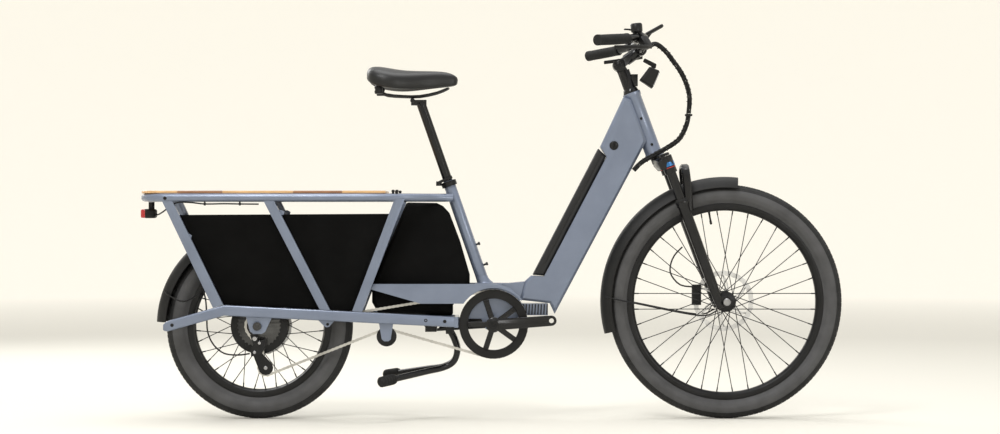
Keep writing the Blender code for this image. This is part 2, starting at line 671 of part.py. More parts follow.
def make_panels():
    """A flat wheel guard inside the struts on each side, and the narrow box behind the seat tube."""
    outline = [(-0.9150, 0.5940), (-0.2820, 0.5975)]
    outline += [(-0.3800, stay_top(-0.380) + 0.001), (-0.7690, stay_top(-0.769) + 0.001),
                (-0.7860, stay_top(-0.786) + 0.001)]
    for side, name in ((-1, "side_panel_right"), (1, "side_panel_left")):
        rings = []
        for depth in (0.0, 0.003):
            rings.append([Vector((x, side * (0.0620 + depth + 0.098 * (z - 0.315)), z)) for x, z in outline])
        bm = bmesh.new()
        add_loft(bm, rings)
        add_object(name, bm, BLACK_PLASTIC)
    outline = [(-0.2474, 0.6305), (-0.1600, 0.6290), (-0.1420, 0.6200), (-0.1235, 0.6000),
               (-0.0930, 0.5200), (-0.0640, 0.4200), (-0.0640, 0.3960), (-0.1130, 0.3300),
               (-0.1130, 0.3015), (-0.3300, 0.3080), (-0.3480, 0.3400), (-0.3480, 0.3900)]
    bevelled_plate("centre_compartment", outline, 0.0410, 0.008, BLACK_PLASTIC)


def fender_profile(radius, half_width, drop):
    """A curved strip, as (radius, offset), 1.8 mm thick."""
    thickness = 0.0018
    outer = [(radius - drop, -half_width), (radius - drop * 0.30, -half_width * 0.82),
             (radius, -half_width * 0.40), (radius, half_width * 0.40),
             (radius - drop * 0.30, half_width * 0.82), (radius - drop, half_width)]
    inner = [(r - thickness, y * (1.0 - thickness / half_width)) for r, y in reversed(outer)]
    return outer + inner


def make_rear_fender():
    fender = ring("rear_fender", fender_profile(0.3010, 0.0420, 0.0300), REAR_AXLE, BLACK_PLASTIC,
                  axis=(0, -1, 0), segments=18, start=18.0, sweep=160.0)
    wires = []
    for side in (-1, 1):
        path = [(-0.9500, side * 0.0350, 0.3740), (-0.9380, side * 0.0480, 0.3620),
                (-0.8930, side * 0.0560, 0.3427), (-0.8466, side * 0.0580, 0.3660)]
        wires.append(tube("wire", path, 0.0022, BLACK_METAL, 6))
    combine(fender, wires)


def make_tail_light():
    body = box("tail_light", (-1.0100, -0.0260, 0.5840), (-0.9800, 0.0260, 0.6120), RED_LENS)
    stem = box("stem", (-1.0000, -0.0080, 0.6100), (-0.9880, 0.0080, 0.6318), RED_LENS)
    lens = bevelled_box("lens", (-1.0230, -0.0252, 0.5848), (-1.0080, 0.0252, 0.6112), RED_LENS)
    combine(body, [stem, lens])


def bevelled_box(name, low, high, finish):
    bm = bmesh.new()
    edge = 0.003
    rings = []
    for x, inset in ((high[0], 0.0), (low[0] + edge, 0.0), (low[0], edge)):
        rings.append([Vector((x, low[1] + inset, low[2] + inset)), Vector((x, high[1] - inset, low[2] + inset)),
                      Vector((x, high[1] - inset, high[2] - inset)),
                      Vector((x, low[1] + inset, high[2] - inset))])
    add_loft(bm, rings)
    return add_object(name, bm, finish)


# ---------------------------------------------------------------- drive

def make_cranks():
    """Right crank with spindle and spider; left crank opposite; chainring with its guard."""
    forward = Vector((math.cos(CRANK_LIFT), 0, math.sin(CRANK_LIFT)))
    right = rod("crank_right", BB + Vector((0, -0.0960, 0)), BB + Vector((0, 0.0780, 0)), 0.0119, BLACK_METAL, 20)
    solids = [disc("boss", [(0.0225, 0.0), (0.0225, 0.0150), (0.0190, 0.0180)], BB + Vector((0, -0.0790, 0)),
                   (0, -1, 0), BLACK_METAL, 20)]
    tip = BB + forward * CRANK_LENGTH + Vector((0, -0.0885, 0))
    solids.append(crank_arm("arm", BB + Vector((0, -0.0885, 0)), tip))
    for index in range(5):
        angle = math.radians(36.0 + 72.0 * index)
        end = BB + Vector((0.0745 * math.cos(angle), -0.0640, 0.0745 * math.sin(angle)))
        solids.append(bar("spider", [BB + Vector((0, -0.0740, 0)), end],
                          rounded(0.0060, 0.0160, 0.0015, 1), (0, 1, 0), BLACK_METAL))
    solids.append(disc("spider_hub", [(0.0200, 0.0), (0.0200, 0.0130)], BB + Vector((0, -0.0670, 0)),
                       (0, -1, 0), BLACK_METAL, 20))
    combine(right, solids)
    combine(right, [rod("pedal_hole", tip + Vector((0, -0.02, 0)), tip + Vector((0, 0.02, 0)), 0.0070,
                        BLACK_METAL, 16)], "DIFFERENCE")
    left_tip = BB - forward * CRANK_LENGTH + Vector((0, 0.0885, 0))
    left = crank_arm("crank_left", BB + Vector((0, 0.0885, 0)), left_tip)
    combine(left, [disc("boss", [(0.0200, 0.0), (0.0200, 0.0170)], BB + Vector((0, 0.0790, 0)), (0, 1, 0),
                        BLACK_METAL, 20)])
    combine(left, [rod("pedal_hole", left_tip + Vector((0, -0.02, 0)), left_tip + Vector((0, 0.02, 0)), 0.0070,
                       BLACK_METAL, 16)], "DIFFERENCE")
    teeth = ring("chainring", [(0.0750, -0.0010), (0.0924, -0.0010), (0.0924, 0.0010), (0.0750, 0.0010)],
                 BB + Vector((0, CHAIN_Y - 0.0020, 0)), BLACK_METAL, segments=32)
    guard = ring("guard", [(0.0745, 0.0010), (0.0880, 0.0010), (0.0880, 0.0050), (0.1000, 0.0050),
                           (0.1000, 0.0085), (0.0745, 0.0085)], BB + Vector((0, CHAIN_Y - 0.0018, 0)),
                 BLACK_METAL, segments=32)
    combine(teeth, [guard])
    pivot("crank_axis", BB, [right, left, teeth])


def crank_arm(name, start, tip):
    """A flat arm that narrows towards a round eye."""
    along = (tip - start).normalized()
    up = Vector((0, 1, 0)).cross(along)
    length = (tip - start).length
    outline = []
    for step in range(9):
        angle = math.radians(90.0 + 180.0 * step / 8)
        outline.append((0.0165 * math.cos(angle), 0.0165 * math.sin(angle)))
    for step in range(9):
        angle = math.radians(-90.0 + 180.0 * step / 8)
        outline.append((length + 0.0150 * math.cos(angle), 0.0150 * math.sin(angle)))
    bm = bmesh.new()
    rings = []
    for y, inset in ((-0.0070, 0.93), (-0.0050, 1.0), (0.0050, 1.0), (0.0070, 0.93)):
        rings.append([start + along * (length / 2 + (a - length / 2) * (1 - (1 - inset) * 0.15))
                      + up * (b * inset) + Vector((0, y, 0)) for a, b in outline])
    add_loft(bm, rings)
    return add_object(name, bm, BLACK_METAL)


def tangent_points(first, second):
    """Touch points of a line between two circles (x, z, radius, turn).

    Turn is +1 where the path runs anticlockwise round the circle and -1 where it runs clockwise.
    """
    x1, z1, r1, turn1 = first
    x2, z2, r2, turn2 = second
    dx = x2 - x1
    dz = z2 - z1
    distance = math.hypot(dx, dz)
    base = math.atan2(dz, dx)
    offset = math.asin((turn1 * r1 - turn2 * r2) / distance)
    heading = base + offset
    normal = (math.sin(heading), -math.cos(heading))
    start = (x1 + turn1 * r1 * normal[0], z1 + turn1 * r1 * normal[1])
    end = (x2 + turn2 * r2 * normal[0], z2 + turn2 * r2 * normal[1])
    return start, end


def chain_path():
    """The closed pitch line of the chain round the chainring, idler, jockeys and cog."""
    wheels = [(BB.x, BB.z, CHAIN_PITCH_RADIUS, -1, 10.0), (IDLER.x, IDLER.z, IDLER_PITCH, 1, 30.0),
              (JOCKEY_LOWER.x, JOCKEY_LOWER.z, JOCKEY_LOWER_PITCH, -1, 30.0),
              (JOCKEY_UPPER.x, JOCKEY_UPPER.z, JOCKEY_PITCH, 1, 30.0),
              (REAR_AXLE.x, REAR_AXLE.z, COG_PITCH, -1, 20.0),
              (CHAIN_GUIDE.x, CHAIN_GUIDE.z + 0.012, 0.012, 1, 8.0)]
    count = len(wheels)
    touches = [tangent_points(wheels[i][:4], wheels[(i + 1) % count][:4]) for i in range(count)]
    points = []
    for index, (x, z, radius, turn, step_angle) in enumerate(wheels):
        arrive = touches[index - 1][1]
        leave = touches[index][0]
        start = math.atan2(arrive[1] - z, arrive[0] - x)
        end = math.atan2(leave[1] - z, leave[0] - x)
        sweep = (end - start) * turn % (2.0 * math.pi) * turn
        steps = max(1, round(abs(math.degrees(sweep)) / step_angle))
        points += [(x + radius * math.cos(start + sweep * k / steps),
                    z + radius * math.sin(start + sweep * k / steps)) for k in range(steps + 1)]
    return points


def make_chain():
    points = chain_path()
    count = len(points)
    rings = []
    for index in range(count):
        before = Vector(points[index - 1])
        after = Vector(points[(index + 1) % count])
        tangent = (after - before).normalized()
        normal = Vector((-tangent.y, tangent.x))
        here = Vector(points[index])
        corners = []
        for a, b in ((-1, -1), (1, -1), (1, 1), (-1, 1)):
            flat = here + normal * (a * CHAIN_HALF_HEIGHT)
            corners.append(Vector((flat.x, CHAIN_Y + b * CHAIN_HALF_WIDTH, flat.y)))
        rings.append(corners)
    bm = bmesh.new()
    add_loft(bm, rings, closed=True)
    add_object("chain", bm, SILVER)


def make_cassette():
    profile = [(0.0150, 0.0290), (0.0640, 0.0290), (0.0640, 0.0310), (0.0580, 0.0330), (0.0480, 0.0380),
               (0.0410, 0.0430), (0.0320, 0.0450), (0.0320, 0.0530), (0.0270, 0.0570), (0.0230, 0.0620),
               (0.0150, 0.0630)]
    cassette = ring("cassette", profile, REAR_AXLE, SILVER, axis=(0, -1, 0), segments=20)
    pivot("cassette_axis", REAR_AXLE, [cassette])


def pulley(name, centre, tooth_radius, disc_radius, bore, finish):
    """A chain roller: a toothed core between two cheek discs."""
    core = tooth_radius
    cheek = CHAIN_HALF_WIDTH + 0.0012
    if disc_radius > core:
        profile = [(bore, -cheek - 0.0012), (disc_radius, -cheek - 0.0012), (disc_radius, -cheek), (core, -cheek),
                   (core, cheek), (disc_radius, cheek), (disc_radius, cheek + 0.0012), (bore, cheek + 0.0012)]
    else:
        profile = [(bore, -0.0040), (core * 0.6, -0.0040), (core, -0.0015), (core, 0.0015), (core * 0.6, 0.0040),
                   (bore, 0.0040)]
    wheel = ring(name, profile, centre, finish, segments=14)
    pivot(name + "_axis", centre, [wheel])


def make_derailleur():
    """Hanger, body and cage, with pins through both jockey wheels."""
    upper = (JOCKEY_UPPER.x, JOCKEY_UPPER.z)
    lower = (JOCKEY_LOWER.x, JOCKEY_LOWER.z)
    heading = math.degrees(math.atan2(upper[1] - lower[1], upper[0] - lower[0]))
    outline = arc(upper, 0.0120, heading - 90.0, heading + 90.0, 6)
    outline += arc(lower, 0.0210, heading + 90.0, heading + 270.0, 6)
    outer = plate("derailleur", outline, CHAIN_Y - 0.0060, CHAIN_Y - 0.0045, BLACK_METAL)
    inner = plate("inner", outline, CHAIN_Y + 0.0045, CHAIN_Y + 0.0060, BLACK_METAL)
    solids = [inner]
    for centre in (JOCKEY_UPPER, JOCKEY_LOWER):
        solids.append(rod("pin", centre + Vector((0, -0.0070, 0)), centre + Vector((0, 0.0070, 0)), 0.0026,
                          SILVER, 10))
    body = [(-0.6860, 0.2250), (-0.6560, 0.2340), (-0.6540, 0.2120), (-0.6680, 0.1880), (-0.6960, 0.1840),
            (-0.6980, 0.2060)]
    solids.append(plate("body", body, CHAIN_Y - 0.0200, CHAIN_Y - 0.0052, BLACK_METAL))
    hanger = [(-0.6990, 0.2460), (-0.6800, 0.2490), (-0.6740, 0.2240), (-0.6900, 0.2200)]
    solids.append(plate("hanger", hanger, -0.0700, -0.0660, BLACK_METAL))
    combine(outer, solids)


def make_rear_caliper():
    """Left side, gripping the rotor from the rear above the axle."""
    centre = REAR_AXLE + Vector((-0.064, 0.0535, 0.043))
    caliper = box("rear_caliper", centre + Vector((-0.022, -0.0110, -0.017)),
                  centre + Vector((0.016, 0.0110, 0.017)), BLACK_METAL)
    slot = ring("slot", [(0.020, -0.0017), (0.0915, -0.0017), (0.0915, 0.0017), (0.020, 0.0017)],
                REAR_AXLE + Vector((0, 0.0535, 0)), BLACK_METAL, axis=(0, 1, 0), segments=40)
    combine(caliper, [slot], "DIFFERENCE")
    foot = box("foot", centre + Vector((-0.018, 0.0100, -0.012)), centre + Vector((0.012, 0.0165, 0.010)),
               BLACK_METAL)
    combine(caliper, [foot])


def make_shift_cable():
    """The last loop of the shift cable, down inside the lower stay to the derailleur."""
    loop = smooth_path([(-0.8380, -0.0540, 0.3850), (-0.8290, -0.0545, 0.3450), (-0.8260, -0.0550, 0.3000),
                        (-0.8230, -0.0560, 0.2550), (-0.8060, -0.0580, 0.2180), (-0.7750, -0.0600, 0.1930),
                        (-0.7350, -0.0605, 0.1880), (-0.7005, -0.0605, 0.1920)], 3)
    cord("shift_cable", loop, 0.0024)


def cord(name, points, radius, resolution=2):
    """A round cord as a curve with filled ends."""
    curve = bpy.data.curves.new(name, "CURVE")
    curve.dimensions = "3D"
    curve.bevel_depth = radius
    curve.bevel_resolution = resolution
    curve.use_fill_caps = True
    spline = curve.splines.new("POLY")
    spline.points.add(len(points) - 1)
    for target, point in zip(spline.points, points):
        target.co = (point[0], point[1], point[2], 1.0)
    curve.materials.append(make_material(BLACK_PLASTIC))
    obj = bpy.data.objects.new(name, curve)
    bpy.context.scene.collection.objects.link(obj)
    return obj


# ---------------------------------------------------------------- seat

def make_seat():
    direction = (SEAT_TUBE_TOP - SEAT_TUBE_FOOT).normalized()
    top = SEAT_TUBE_TOP + direction * 0.2440
    post = rod("seatpost", SEAT_TUBE_TOP - direction * 0.150, top, SEATPOST_RADIUS, BLACK_METAL, 20)
    head = box("head", (-0.2350, -0.0125, 0.9140), (-0.1900, 0.0125, 0.9300), BLACK_METAL)
    yoke = rod("yoke", (-0.2300, -0.0320, 0.9270), (-0.2300, 0.0320, 0.9270), 0.0070, BLACK_METAL, 12)
    combine(post, [head, yoke])
    half = [(-0.3270, 0.0560, 0.9540), (-0.3050, 0.0430, 0.9440), (-0.2600, 0.0240, 0.9400),
            (-0.2100, 0.0240, 0.9400), (-0.1600, 0.0200, 0.9500), (-0.1300, 0.0120, 0.9620)]
    route = half + [(x, -y, z) for x, y, z in reversed(half)]
    rails = tube("saddle_rails", smooth_path(route, 2), 0.0038, SILVER, 6)
    bumpers = []
    for side in (-1, 1):
        bumpers.append(disc("bumper", [(0.0110, 0.0), (0.0130, 0.006), (0.0110, 0.012), (0.0130, 0.018),
                                       (0.0110, 0.024)], (-0.3270, side * 0.0560, 0.9450), (0, 0, 1), RUBBER, 14))
    combine(rails, bumpers)
    cushion = make_cushion()
    pivot("seatpost_axis", SEAT_TUBE_TOP, [post, rails, cushion])


def make_cushion():
    """Wide padded saddle: lofted across stations from tail to nose."""
    stations = [(-0.3640, 0.0560, 1.0130, 0.9930), (-0.3520, 0.0800, 1.0290, 0.9800),
                (-0.3200, 0.0980, 1.0300, 0.9720), (-0.2800, 0.0960, 1.0230, 0.9700),
                (-0.2350, 0.0740, 1.0160, 0.9690), (-0.1900, 0.0470, 1.0130, 0.9680),
                (-0.1450, 0.0320, 1.0110, 0.9680), (-0.1130, 0.0270, 1.0040, 0.9690),
                (-0.0950, 0.0180, 0.9930, 0.9760)]
    rings = []
    for x, half, top, bottom in stations:
        ring_points = []
        for step in range(7):
            angle = math.radians(180.0 * step / 6)
            z = bottom + 0.004 + (top - bottom - 0.004) * math.sin(angle) ** 0.55
            ring_points.append(Vector((x, half * math.cos(angle), z)))
        ring_points += [Vector((x, -half * 0.75, bottom)), Vector((x, half * 0.75, bottom))]
        rings.append(ring_points)
    bm = bmesh.new()
    add_loft(bm, rings)
    return add_object("saddle_cushion", bm, LEATHER)


# ---------------------------------------------------------------- stand

def make_stand():
    bracket = box("kickstand_bracket", (-0.1950, -0.0545, 0.2700), (-0.1083, 0.0545, 0.2920), BLACK_METAL)
    solids = [box("lug", (-0.1930, -0.0400, 0.2540), (-0.1600, 0.0400, 0.2720), BLACK_METAL)]
    for side in (-1, 1):
        low, high = sorted((side * 0.0320, side * 0.0400))
        solids.append(box("ear", (-0.1330, low, 0.2480), (-0.1110, high, 0.2710), BLACK_METAL))
    combine(bracket, solids)
    spindle = rod("kickstand_legs", STAND_PIVOT + Vector((0, -0.0316, 0)), STAND_PIVOT + Vector((0, 0.0316, 0)),
                  0.0085, BLACK_METAL, 14)
    legs = []
    for side in (-1, 1):
        path = smooth_path([(-0.1220, side * 0.0200, 0.2580), (-0.1080, side * 0.0240, 0.2310),
                            (-0.1000, side * 0.0280, 0.2000), (-0.1100, side * 0.0300, 0.1680),
                            (-0.1400, side * 0.0330, 0.1500), (-0.1900, side * 0.0700, 0.1405),
                            (-0.3080, side * 0.1620, 0.1180)], 2)
        legs.append(tube("leg", path, 0.0092, BLACK_METAL, 8))
        along = (path[-1] - path[-2]).normalized()
        legs.append(disc("foot", [(0.0130, -0.040), (0.0155, -0.034), (0.0155, 0.008), (0.0120, 0.014)],
                         path[-1], along, RUBBER, 10))
    combine(spindle, legs)
    pivot("kickstand_axis", STAND_PIVOT, [spindle])


# ---------------------------------------------------------------- fork

def leg_point(distance, side=0.0, forward=0.0):
    return on_steer_axis(distance, LEG_FORWARD + forward, side)


def make_fork():
    steerer = rod("fork_crown", on_steer_axis(-0.1180), on_steer_axis(0.0990), 0.0143, BLACK_METAL, 18)
    crown_path = [leg_point(-0.1300, -0.0790, -0.006), leg_point(-0.1220, -0.0400, -0.012),
                  leg_point(-0.1190, 0.0, -0.016), leg_point(-0.1220, 0.0400, -0.012),
                  leg_point(-0.1300, 0.0790, -0.006)]
    crown = bar("crown", crown_path, rounded(0.0300, 0.0420, 0.008), STEER_UP, BLACK_METAL)
    solids = [crown]
    for side in (-1, 1):
        y = side * LEG_HALF_SPACING
        solids.append(rod("stanchion", leg_point(-0.3300, y), leg_point(-0.1250, y), STANCHION_RADIUS,
                          BLACK_METAL, 12))
        solids.append(rod("cap", leg_point(-0.1600, y), leg_point(-0.1080, y), 0.0185, BLACK_METAL, 12))
    combine(steerer, solids)
    quill_start = on_steer_axis(0.1003)
    quill = rod("stem_quill", quill_start, on_steer_axis(0.1680), 0.0180, BLACK_METAL, 18)
    quill_parts = [disc("base", [(0.0240, 0.0), (0.0200, 0.012)], quill_start, STEER_UP, BLACK_METAL, 18),
                   rod("knuckle", STEM_PIVOT + Vector((0, -0.0125, 0)), STEM_PIVOT + Vector((0, 0.0125, 0)),
                       0.0185, BLACK_METAL, 18),
                   bar("neck", [on_steer_axis(0.1550), STEM_PIVOT], rounded(0.030, 0.024, 0.006, 1),
                       (1, 0, 0), BLACK_METAL),
                   box("wedge", (0.4080, -0.0100, 0.9700), (0.4270, 0.0100, 1.0050), BLACK_METAL)]
    combine(quill, quill_parts)
    pivot("steering_axis", STEER_MIDDLE, [steerer, quill])


def make_lowers():
    axle_start = FRONT_AXLE + Vector((0, -0.0720, 0))
    lowers = rod("fork_lowers", axle_start, FRONT_AXLE + Vector((0, 0.0720, 0)), 0.0062, BLACK_METAL, 14)
    solids = []
    for side in (-1, 1):
        y = side * LEG_HALF_SPACING
        profile = [(0.0185, 0.0), (0.0185, 0.0120), (0.0165, 0.0150), (0.0150, 0.2600), (0.0125, 0.3150),
                   (0.0100, 0.3300)]
        solids.append(disc("leg", profile, leg_point(-0.2480, y), -STEER_UP, BLACK_METAL, 12))
        foot = [leg_point(-0.5500, y), FRONT_AXLE + Vector((0, y, 0))]
        solids.append(bar("foot", foot, rounded(0.030, 0.013, 0.004, 1), (0, 0, 1), BLACK_METAL))
        solids.append(disc("eye", [(0.0150, -0.0065), (0.0150, 0.0065)], FRONT_AXLE + Vector((0, y, 0)),
                           (0, 1, 0), BLACK_METAL, 12))
    arch = [leg_point(-0.2800, -0.0590, 0.012), leg_point(-0.2000, -0.0590, 0.034), leg_point(-0.1680, -0.0500, 0.042),
            leg_point(-0.1560, -0.0250, 0.046), leg_point(-0.1540, 0.0, 0.047), leg_point(-0.1560, 0.0250, 0.046),
            leg_point(-0.1680, 0.0500, 0.042), leg_point(-0.2000, 0.0590, 0.034), leg_point(-0.2800, 0.0590, 0.012)]
    solids.append(bar("arch", arch, rounded(0.0240, 0.0120, 0.004, 1), STEER_FORWARD, BLACK_METAL))
    combine(lowers, solids)
    bores = []
    for side in (-1, 1):
        y = side * LEG_HALF_SPACING
        bores.append(rod("bore", leg_point(-0.4100, y), leg_point(-0.1900, y), STANCHION_RADIUS + 0.0004,
                         BLACK_METAL, 12))
    combine(lowers, bores, "DIFFERENCE")
    fender = make_front_fender()
    caliper = make_front_caliper()
    pivot("suspension_axis", FRONT_AXLE, [lowers, fender, caliper])


def make_front_fender():
    fender = ring("front_fender", fender_profile(0.3640, 0.0390, 0.0310), FRONT_AXLE, BLACK_PLASTIC,
                  axis=(0, -1, 0), segments=14, start=84.0, sweep=111.0)
    stays = []
    for side in (-1, 1):
        path = [FRONT_AXLE + Vector((-0.3510, side * 0.0335, 0.0140)),
                FRONT_AXLE + Vector((-0.2600, side * 0.0460, -0.0050)),
                FRONT_AXLE + Vector((-0.0800, side * 0.0535, -0.0390)),
                FRONT_AXLE + Vector((-0.0250, side * 0.0515, -0.0250))]
        stays.append(tube("stay", path, 0.0024, BLACK_METAL, 6))
    return combine(fender, stays)


def make_front_caliper():
    """Post-mounted behind the left leg, with the hose that loops back to the leg."""
    centre = FRONT_AXLE + Vector((-0.0780, 0.0395, 0.0180))
    caliper = box("front_caliper", centre + Vector((-0.0150, -0.0072, -0.0300)),
                  centre + Vector((0.0120, 0.0110, 0.0300)), BLACK_METAL)
    slot = ring("slot", [(0.020, -0.0017), (0.0915, -0.0017), (0.0915, 0.0017), (0.020, 0.0017)],
                FRONT_AXLE + Vector((0, 0.0395, 0)), BLACK_METAL, axis=(0, 1, 0), segments=40)
    combine(caliper, [slot], "DIFFERENCE")
    hose = smooth_path([(0.5960, 0.0470, 0.3820), (0.5560, 0.0500, 0.3880), (0.5300, 0.0520, 0.4150),
                        (0.5260, 0.0540, 0.4420), (0.5380, 0.0560, 0.4740), (0.5620, 0.0560, 0.5000)], 3)
    combine(caliper, [tube("hose", hose, 0.0025, BLACK_PLASTIC, 8)])
    return caliper


# ---------------------------------------------------------------- cockpit

BAR_POINTS = [(0.4350, 0.0, 1.0760), (0.4350, -0.0350, 1.0760), (0.4400, -0.0850, 1.0920),
              (0.4370, -0.1400, 1.1030), (0.4180, -0.1900, 1.1000), (0.3840, -0.2380, 1.0920),
              (0.3400, -0.2860, 1.0860), (0.2980, -0.3320, 1.0810)]


def bar_path(mirror=False):
    half = smooth_path(BAR_POINTS, 2)
    return mirrored(half) if mirror else half


def make_cockpit():
    half = bar_path()
    path = list(reversed(half)) + mirrored(half)[1:]
    handlebar = tube("handlebar", path, BAR_RADIUS, BLACK_METAL, 10)
    arm = make_stem_arm()
    grips = make_grips()
    controls = make_controls()
    display = make_display()
    pivot("stem_axis", STEM_PIVOT, [handlebar, arm, display] + grips + controls)
    make_headlight()
    make_levers()


def make_stem_arm():
    along = (BAR_CENTRE - STEM_PIVOT).normalized()
    solids = []
    for side in (-1, 1):
        centre = STEM_PIVOT + Vector((0, side * 0.0175, 0))
        solids.append(rod("ear", centre - Vector((0, side * 0.0045, 0)), centre + Vector((0, side * 0.0045, 0)),
                          0.0185, BLACK_METAL, 18))
        solids.append(bar("cheek", [centre, STEM_PIVOT + along * 0.040 + Vector((0, side * 0.0120, 0))],
                          rounded(0.026, 0.009, 0.002, 1), (0, 0, 1), BLACK_METAL))
    arm = disc("stem_arm", [(0.0165, 0.0), (0.0165, 0.0400)], STEM_PIVOT + along * 0.0250, along, BLACK_METAL, 16)
    clamp = rod("clamp", BAR_CENTRE + Vector((0, -0.0220, 0)), BAR_CENTRE + Vector((0, 0.0220, 0)), 0.0180,
                BLACK_METAL, 18)
    combine(arm, solids + [clamp])
    half = bar_path()[:5]
    route = list(reversed(half)) + mirrored(half)[1:]
    cut = [tube("cut", route, BAR_BORE, BLACK_METAL, 10),
           rod("knuckle_cut", STEM_PIVOT + Vector((0, -0.0129, 0)), STEM_PIVOT + Vector((0, 0.0129, 0)), 0.0200,
               BLACK_METAL, 18)]
    return combine(arm, cut, "DIFFERENCE")


def make_grips():
    grips = []
    for mirror, name in ((False, "grip_right"), (True, "grip_left")):
        path = bar_path(mirror)[-5:]
        bm = bmesh.new()
        outer = [p.copy() for p in path]
        end = outer[-1] + (outer[-1] - outer[-2]).normalized() * 0.004
        add_sweep(bm, outer[:-1] + [end], circle(GRIP_RADIUS, 14), (0.013, 0.021, 1.0))
        grip = add_object(name, bm, RUBBER)
        start = path[0] + (path[0] - path[1]).normalized() * 0.004
        bore = tube("bore", [start] + path[1:-1] + [path[-1] + (path[-1] - path[-2]).normalized() * 0.0006],
                    BAR_BORE, RUBBER, 12)
        grips.append(combine(grip, [bore], "DIFFERENCE"))
    return grips


def make_controls():
    """Brake perches on both sides; the right one also carries the bell."""
    controls = []
    for mirror, name in ((False, "controls_right"), (True, "brake_perch_left")):
        side = 1 if mirror else -1
        path = bar_path(mirror)
        here = path[-7]
        along = (path[-6] - path[-8]).normalized()
        band = ring(name, [(BAR_BORE, -0.008), (0.0165, -0.008), (0.0165, 0.008),
                                 (BAR_BORE, 0.008)], here, BLACK_METAL, axis=along, segments=18)
        out = Vector((0.73, side * 0.68, 0.0))
        body = bar("body", [here + out * 0.0150 + Vector((0, 0, -0.006)), here + out * 0.0330 + Vector((0, 0, -0.030))],
                   rounded(0.026, 0.030, 0.005, 1), (0, 0, 1), BLACK_METAL)
        combine(band, [body])
        bore = tube("bore", path[-10:-4], BAR_BORE, BLACK_METAL, 12)
        controls.append(combine(band, [bore], "DIFFERENCE"))
    foot = bar_path()[-7] + Vector((-0.004, 0.0, 0.0150))
    bell = disc("bell", [(0.0120, -0.0030), (0.0165, 0.0), (0.0172, 0.0200), (0.0140, 0.0240)], foot,
                (-0.10, 0.0, 1.0), BLACK_METAL, 18)
    combine(controls[0], [bell])
    return controls


def make_display():
    low = Vector((0.4470, 0.0, 1.1180))
    high = Vector((0.4990, 0.0, 1.1470))
    display = bar("display", [low, high], rounded(0.0085, 0.0640, 0.003), (-0.48, 0, 0.87), BLACK_PLASTIC)
    stalk = bar("stalk", [Vector((0.4420, 0.0, 1.0950)), Vector((0.4640, 0.0, 1.1270))], rounded(0.010, 0.022, 0.002, 1),
                (-0.48, 0, 0.87), BLACK_PLASTIC)
    return combine(display, [stalk])


def make_headlight():
    outline = [(0.4610, 1.0268), (0.4900, 1.0150), (0.4690, 0.9630), (0.4320, 0.9880)]
    light = bevelled_plate("headlight", outline, 0.0240, 0.005, BLACK_PLASTIC)
    arm = [(0.4470, 1.0520), (0.4820, 1.0350), (0.4800, 1.0230), (0.4710, 1.0200), (0.4660, 1.0290), (0.4420, 1.0420)]
    combine(light, [plate("arm", arm, -0.0080, 0.0080, BLACK_PLASTIC)])
    pivot("headlight_axis", (0.4460, 0.0, 1.0470), [light])


def lever_root(mirror):
    side = 1 if mirror else -1
    path = bar_path(mirror)
    return path[-7] + Vector((0.73, side * 0.68, 0.0)) * 0.0480 + Vector((0, 0, -0.0300))


def make_levers():
    for mirror, name in ((False, "brake_lever_right"), (True, "brake_lever_left")):
        side = 1 if mirror else -1
        root = lever_root(mirror)
        tip = Vector((0.3440, side * 0.3330, 1.0610))
        out = Vector((0.73, side * 0.68, 0.0))
        points = smooth_path([root, root + (tip - root) * 0.25 + out * 0.006, root + (tip - root) * 0.6 + out * 0.004,
                              tip], 3)
        blade = bar(name, points, rounded(0.0110, 0.0060, 0.0018, 1), (0, 0, 1), BLACK_METAL)
        pivot(name + "_axis", root, [blade])
    make_small_levers()


def make_small_levers():
    trigger_root = Vector((0.4200, -0.1960, 1.0740))
    trigger = bar("shift_trigger", [trigger_root, trigger_root + Vector((-0.018, -0.016, -0.006)),
                                    trigger_root + Vector((-0.030, -0.030, -0.004))],
                  rounded(0.0040, 0.0100, 0.001, 1), (0, 0, 1), BLACK_METAL)
    pivot("shift_trigger_axis", trigger_root, [trigger])
    bell_root = Vector((0.4010, -0.1700, 1.1210))
    bell_lever = bar("bell_lever", [bell_root, bell_root + Vector((-0.010, -0.006, 0.0015)),
                                    bell_root + Vector((-0.022, -0.012, 0.0015))],
                     rounded(0.0045, 0.0080, 0.001, 1), (0, 0, 1), BLACK_METAL)
    pivot("bell_lever_axis", bell_root, [bell_lever])


CABLE_UPPER = [(0.4560, -0.0560, 1.0830), (0.4780, -0.0560, 1.0890), (0.5060, -0.0540, 1.0680),
               (0.5270, -0.0520, 1.0400), (0.5500, -0.0480, 1.0080), (0.5650, -0.0440, 0.9780),
               (0.5740, -0.0400, 0.9450), (0.5755, -0.0360, 0.9150), (0.5735, -0.0340, 0.8895)]
CABLE_LOWER = [(0.5733, -0.0340, 0.8885), (0.5680, -0.0340, 0.8600), (0.5560, -0.0360, 0.8300),
               (0.5390, -0.0400, 0.8090), (0.5070, -0.0420, 0.7870), (0.4700, -0.0440, 0.7670),
               (0.4380, -0.0450, 0.7480), (0.4130, -0.0400, 0.7240)]


def make_cables():
    cord("cable_bundle_upper", smooth_path(CABLE_UPPER, 2), 0.0058)
    cord("cable_bundle_lower", smooth_path(CABLE_LOWER, 2), 0.0052)


# ---------------------------------------------------------------- assembly

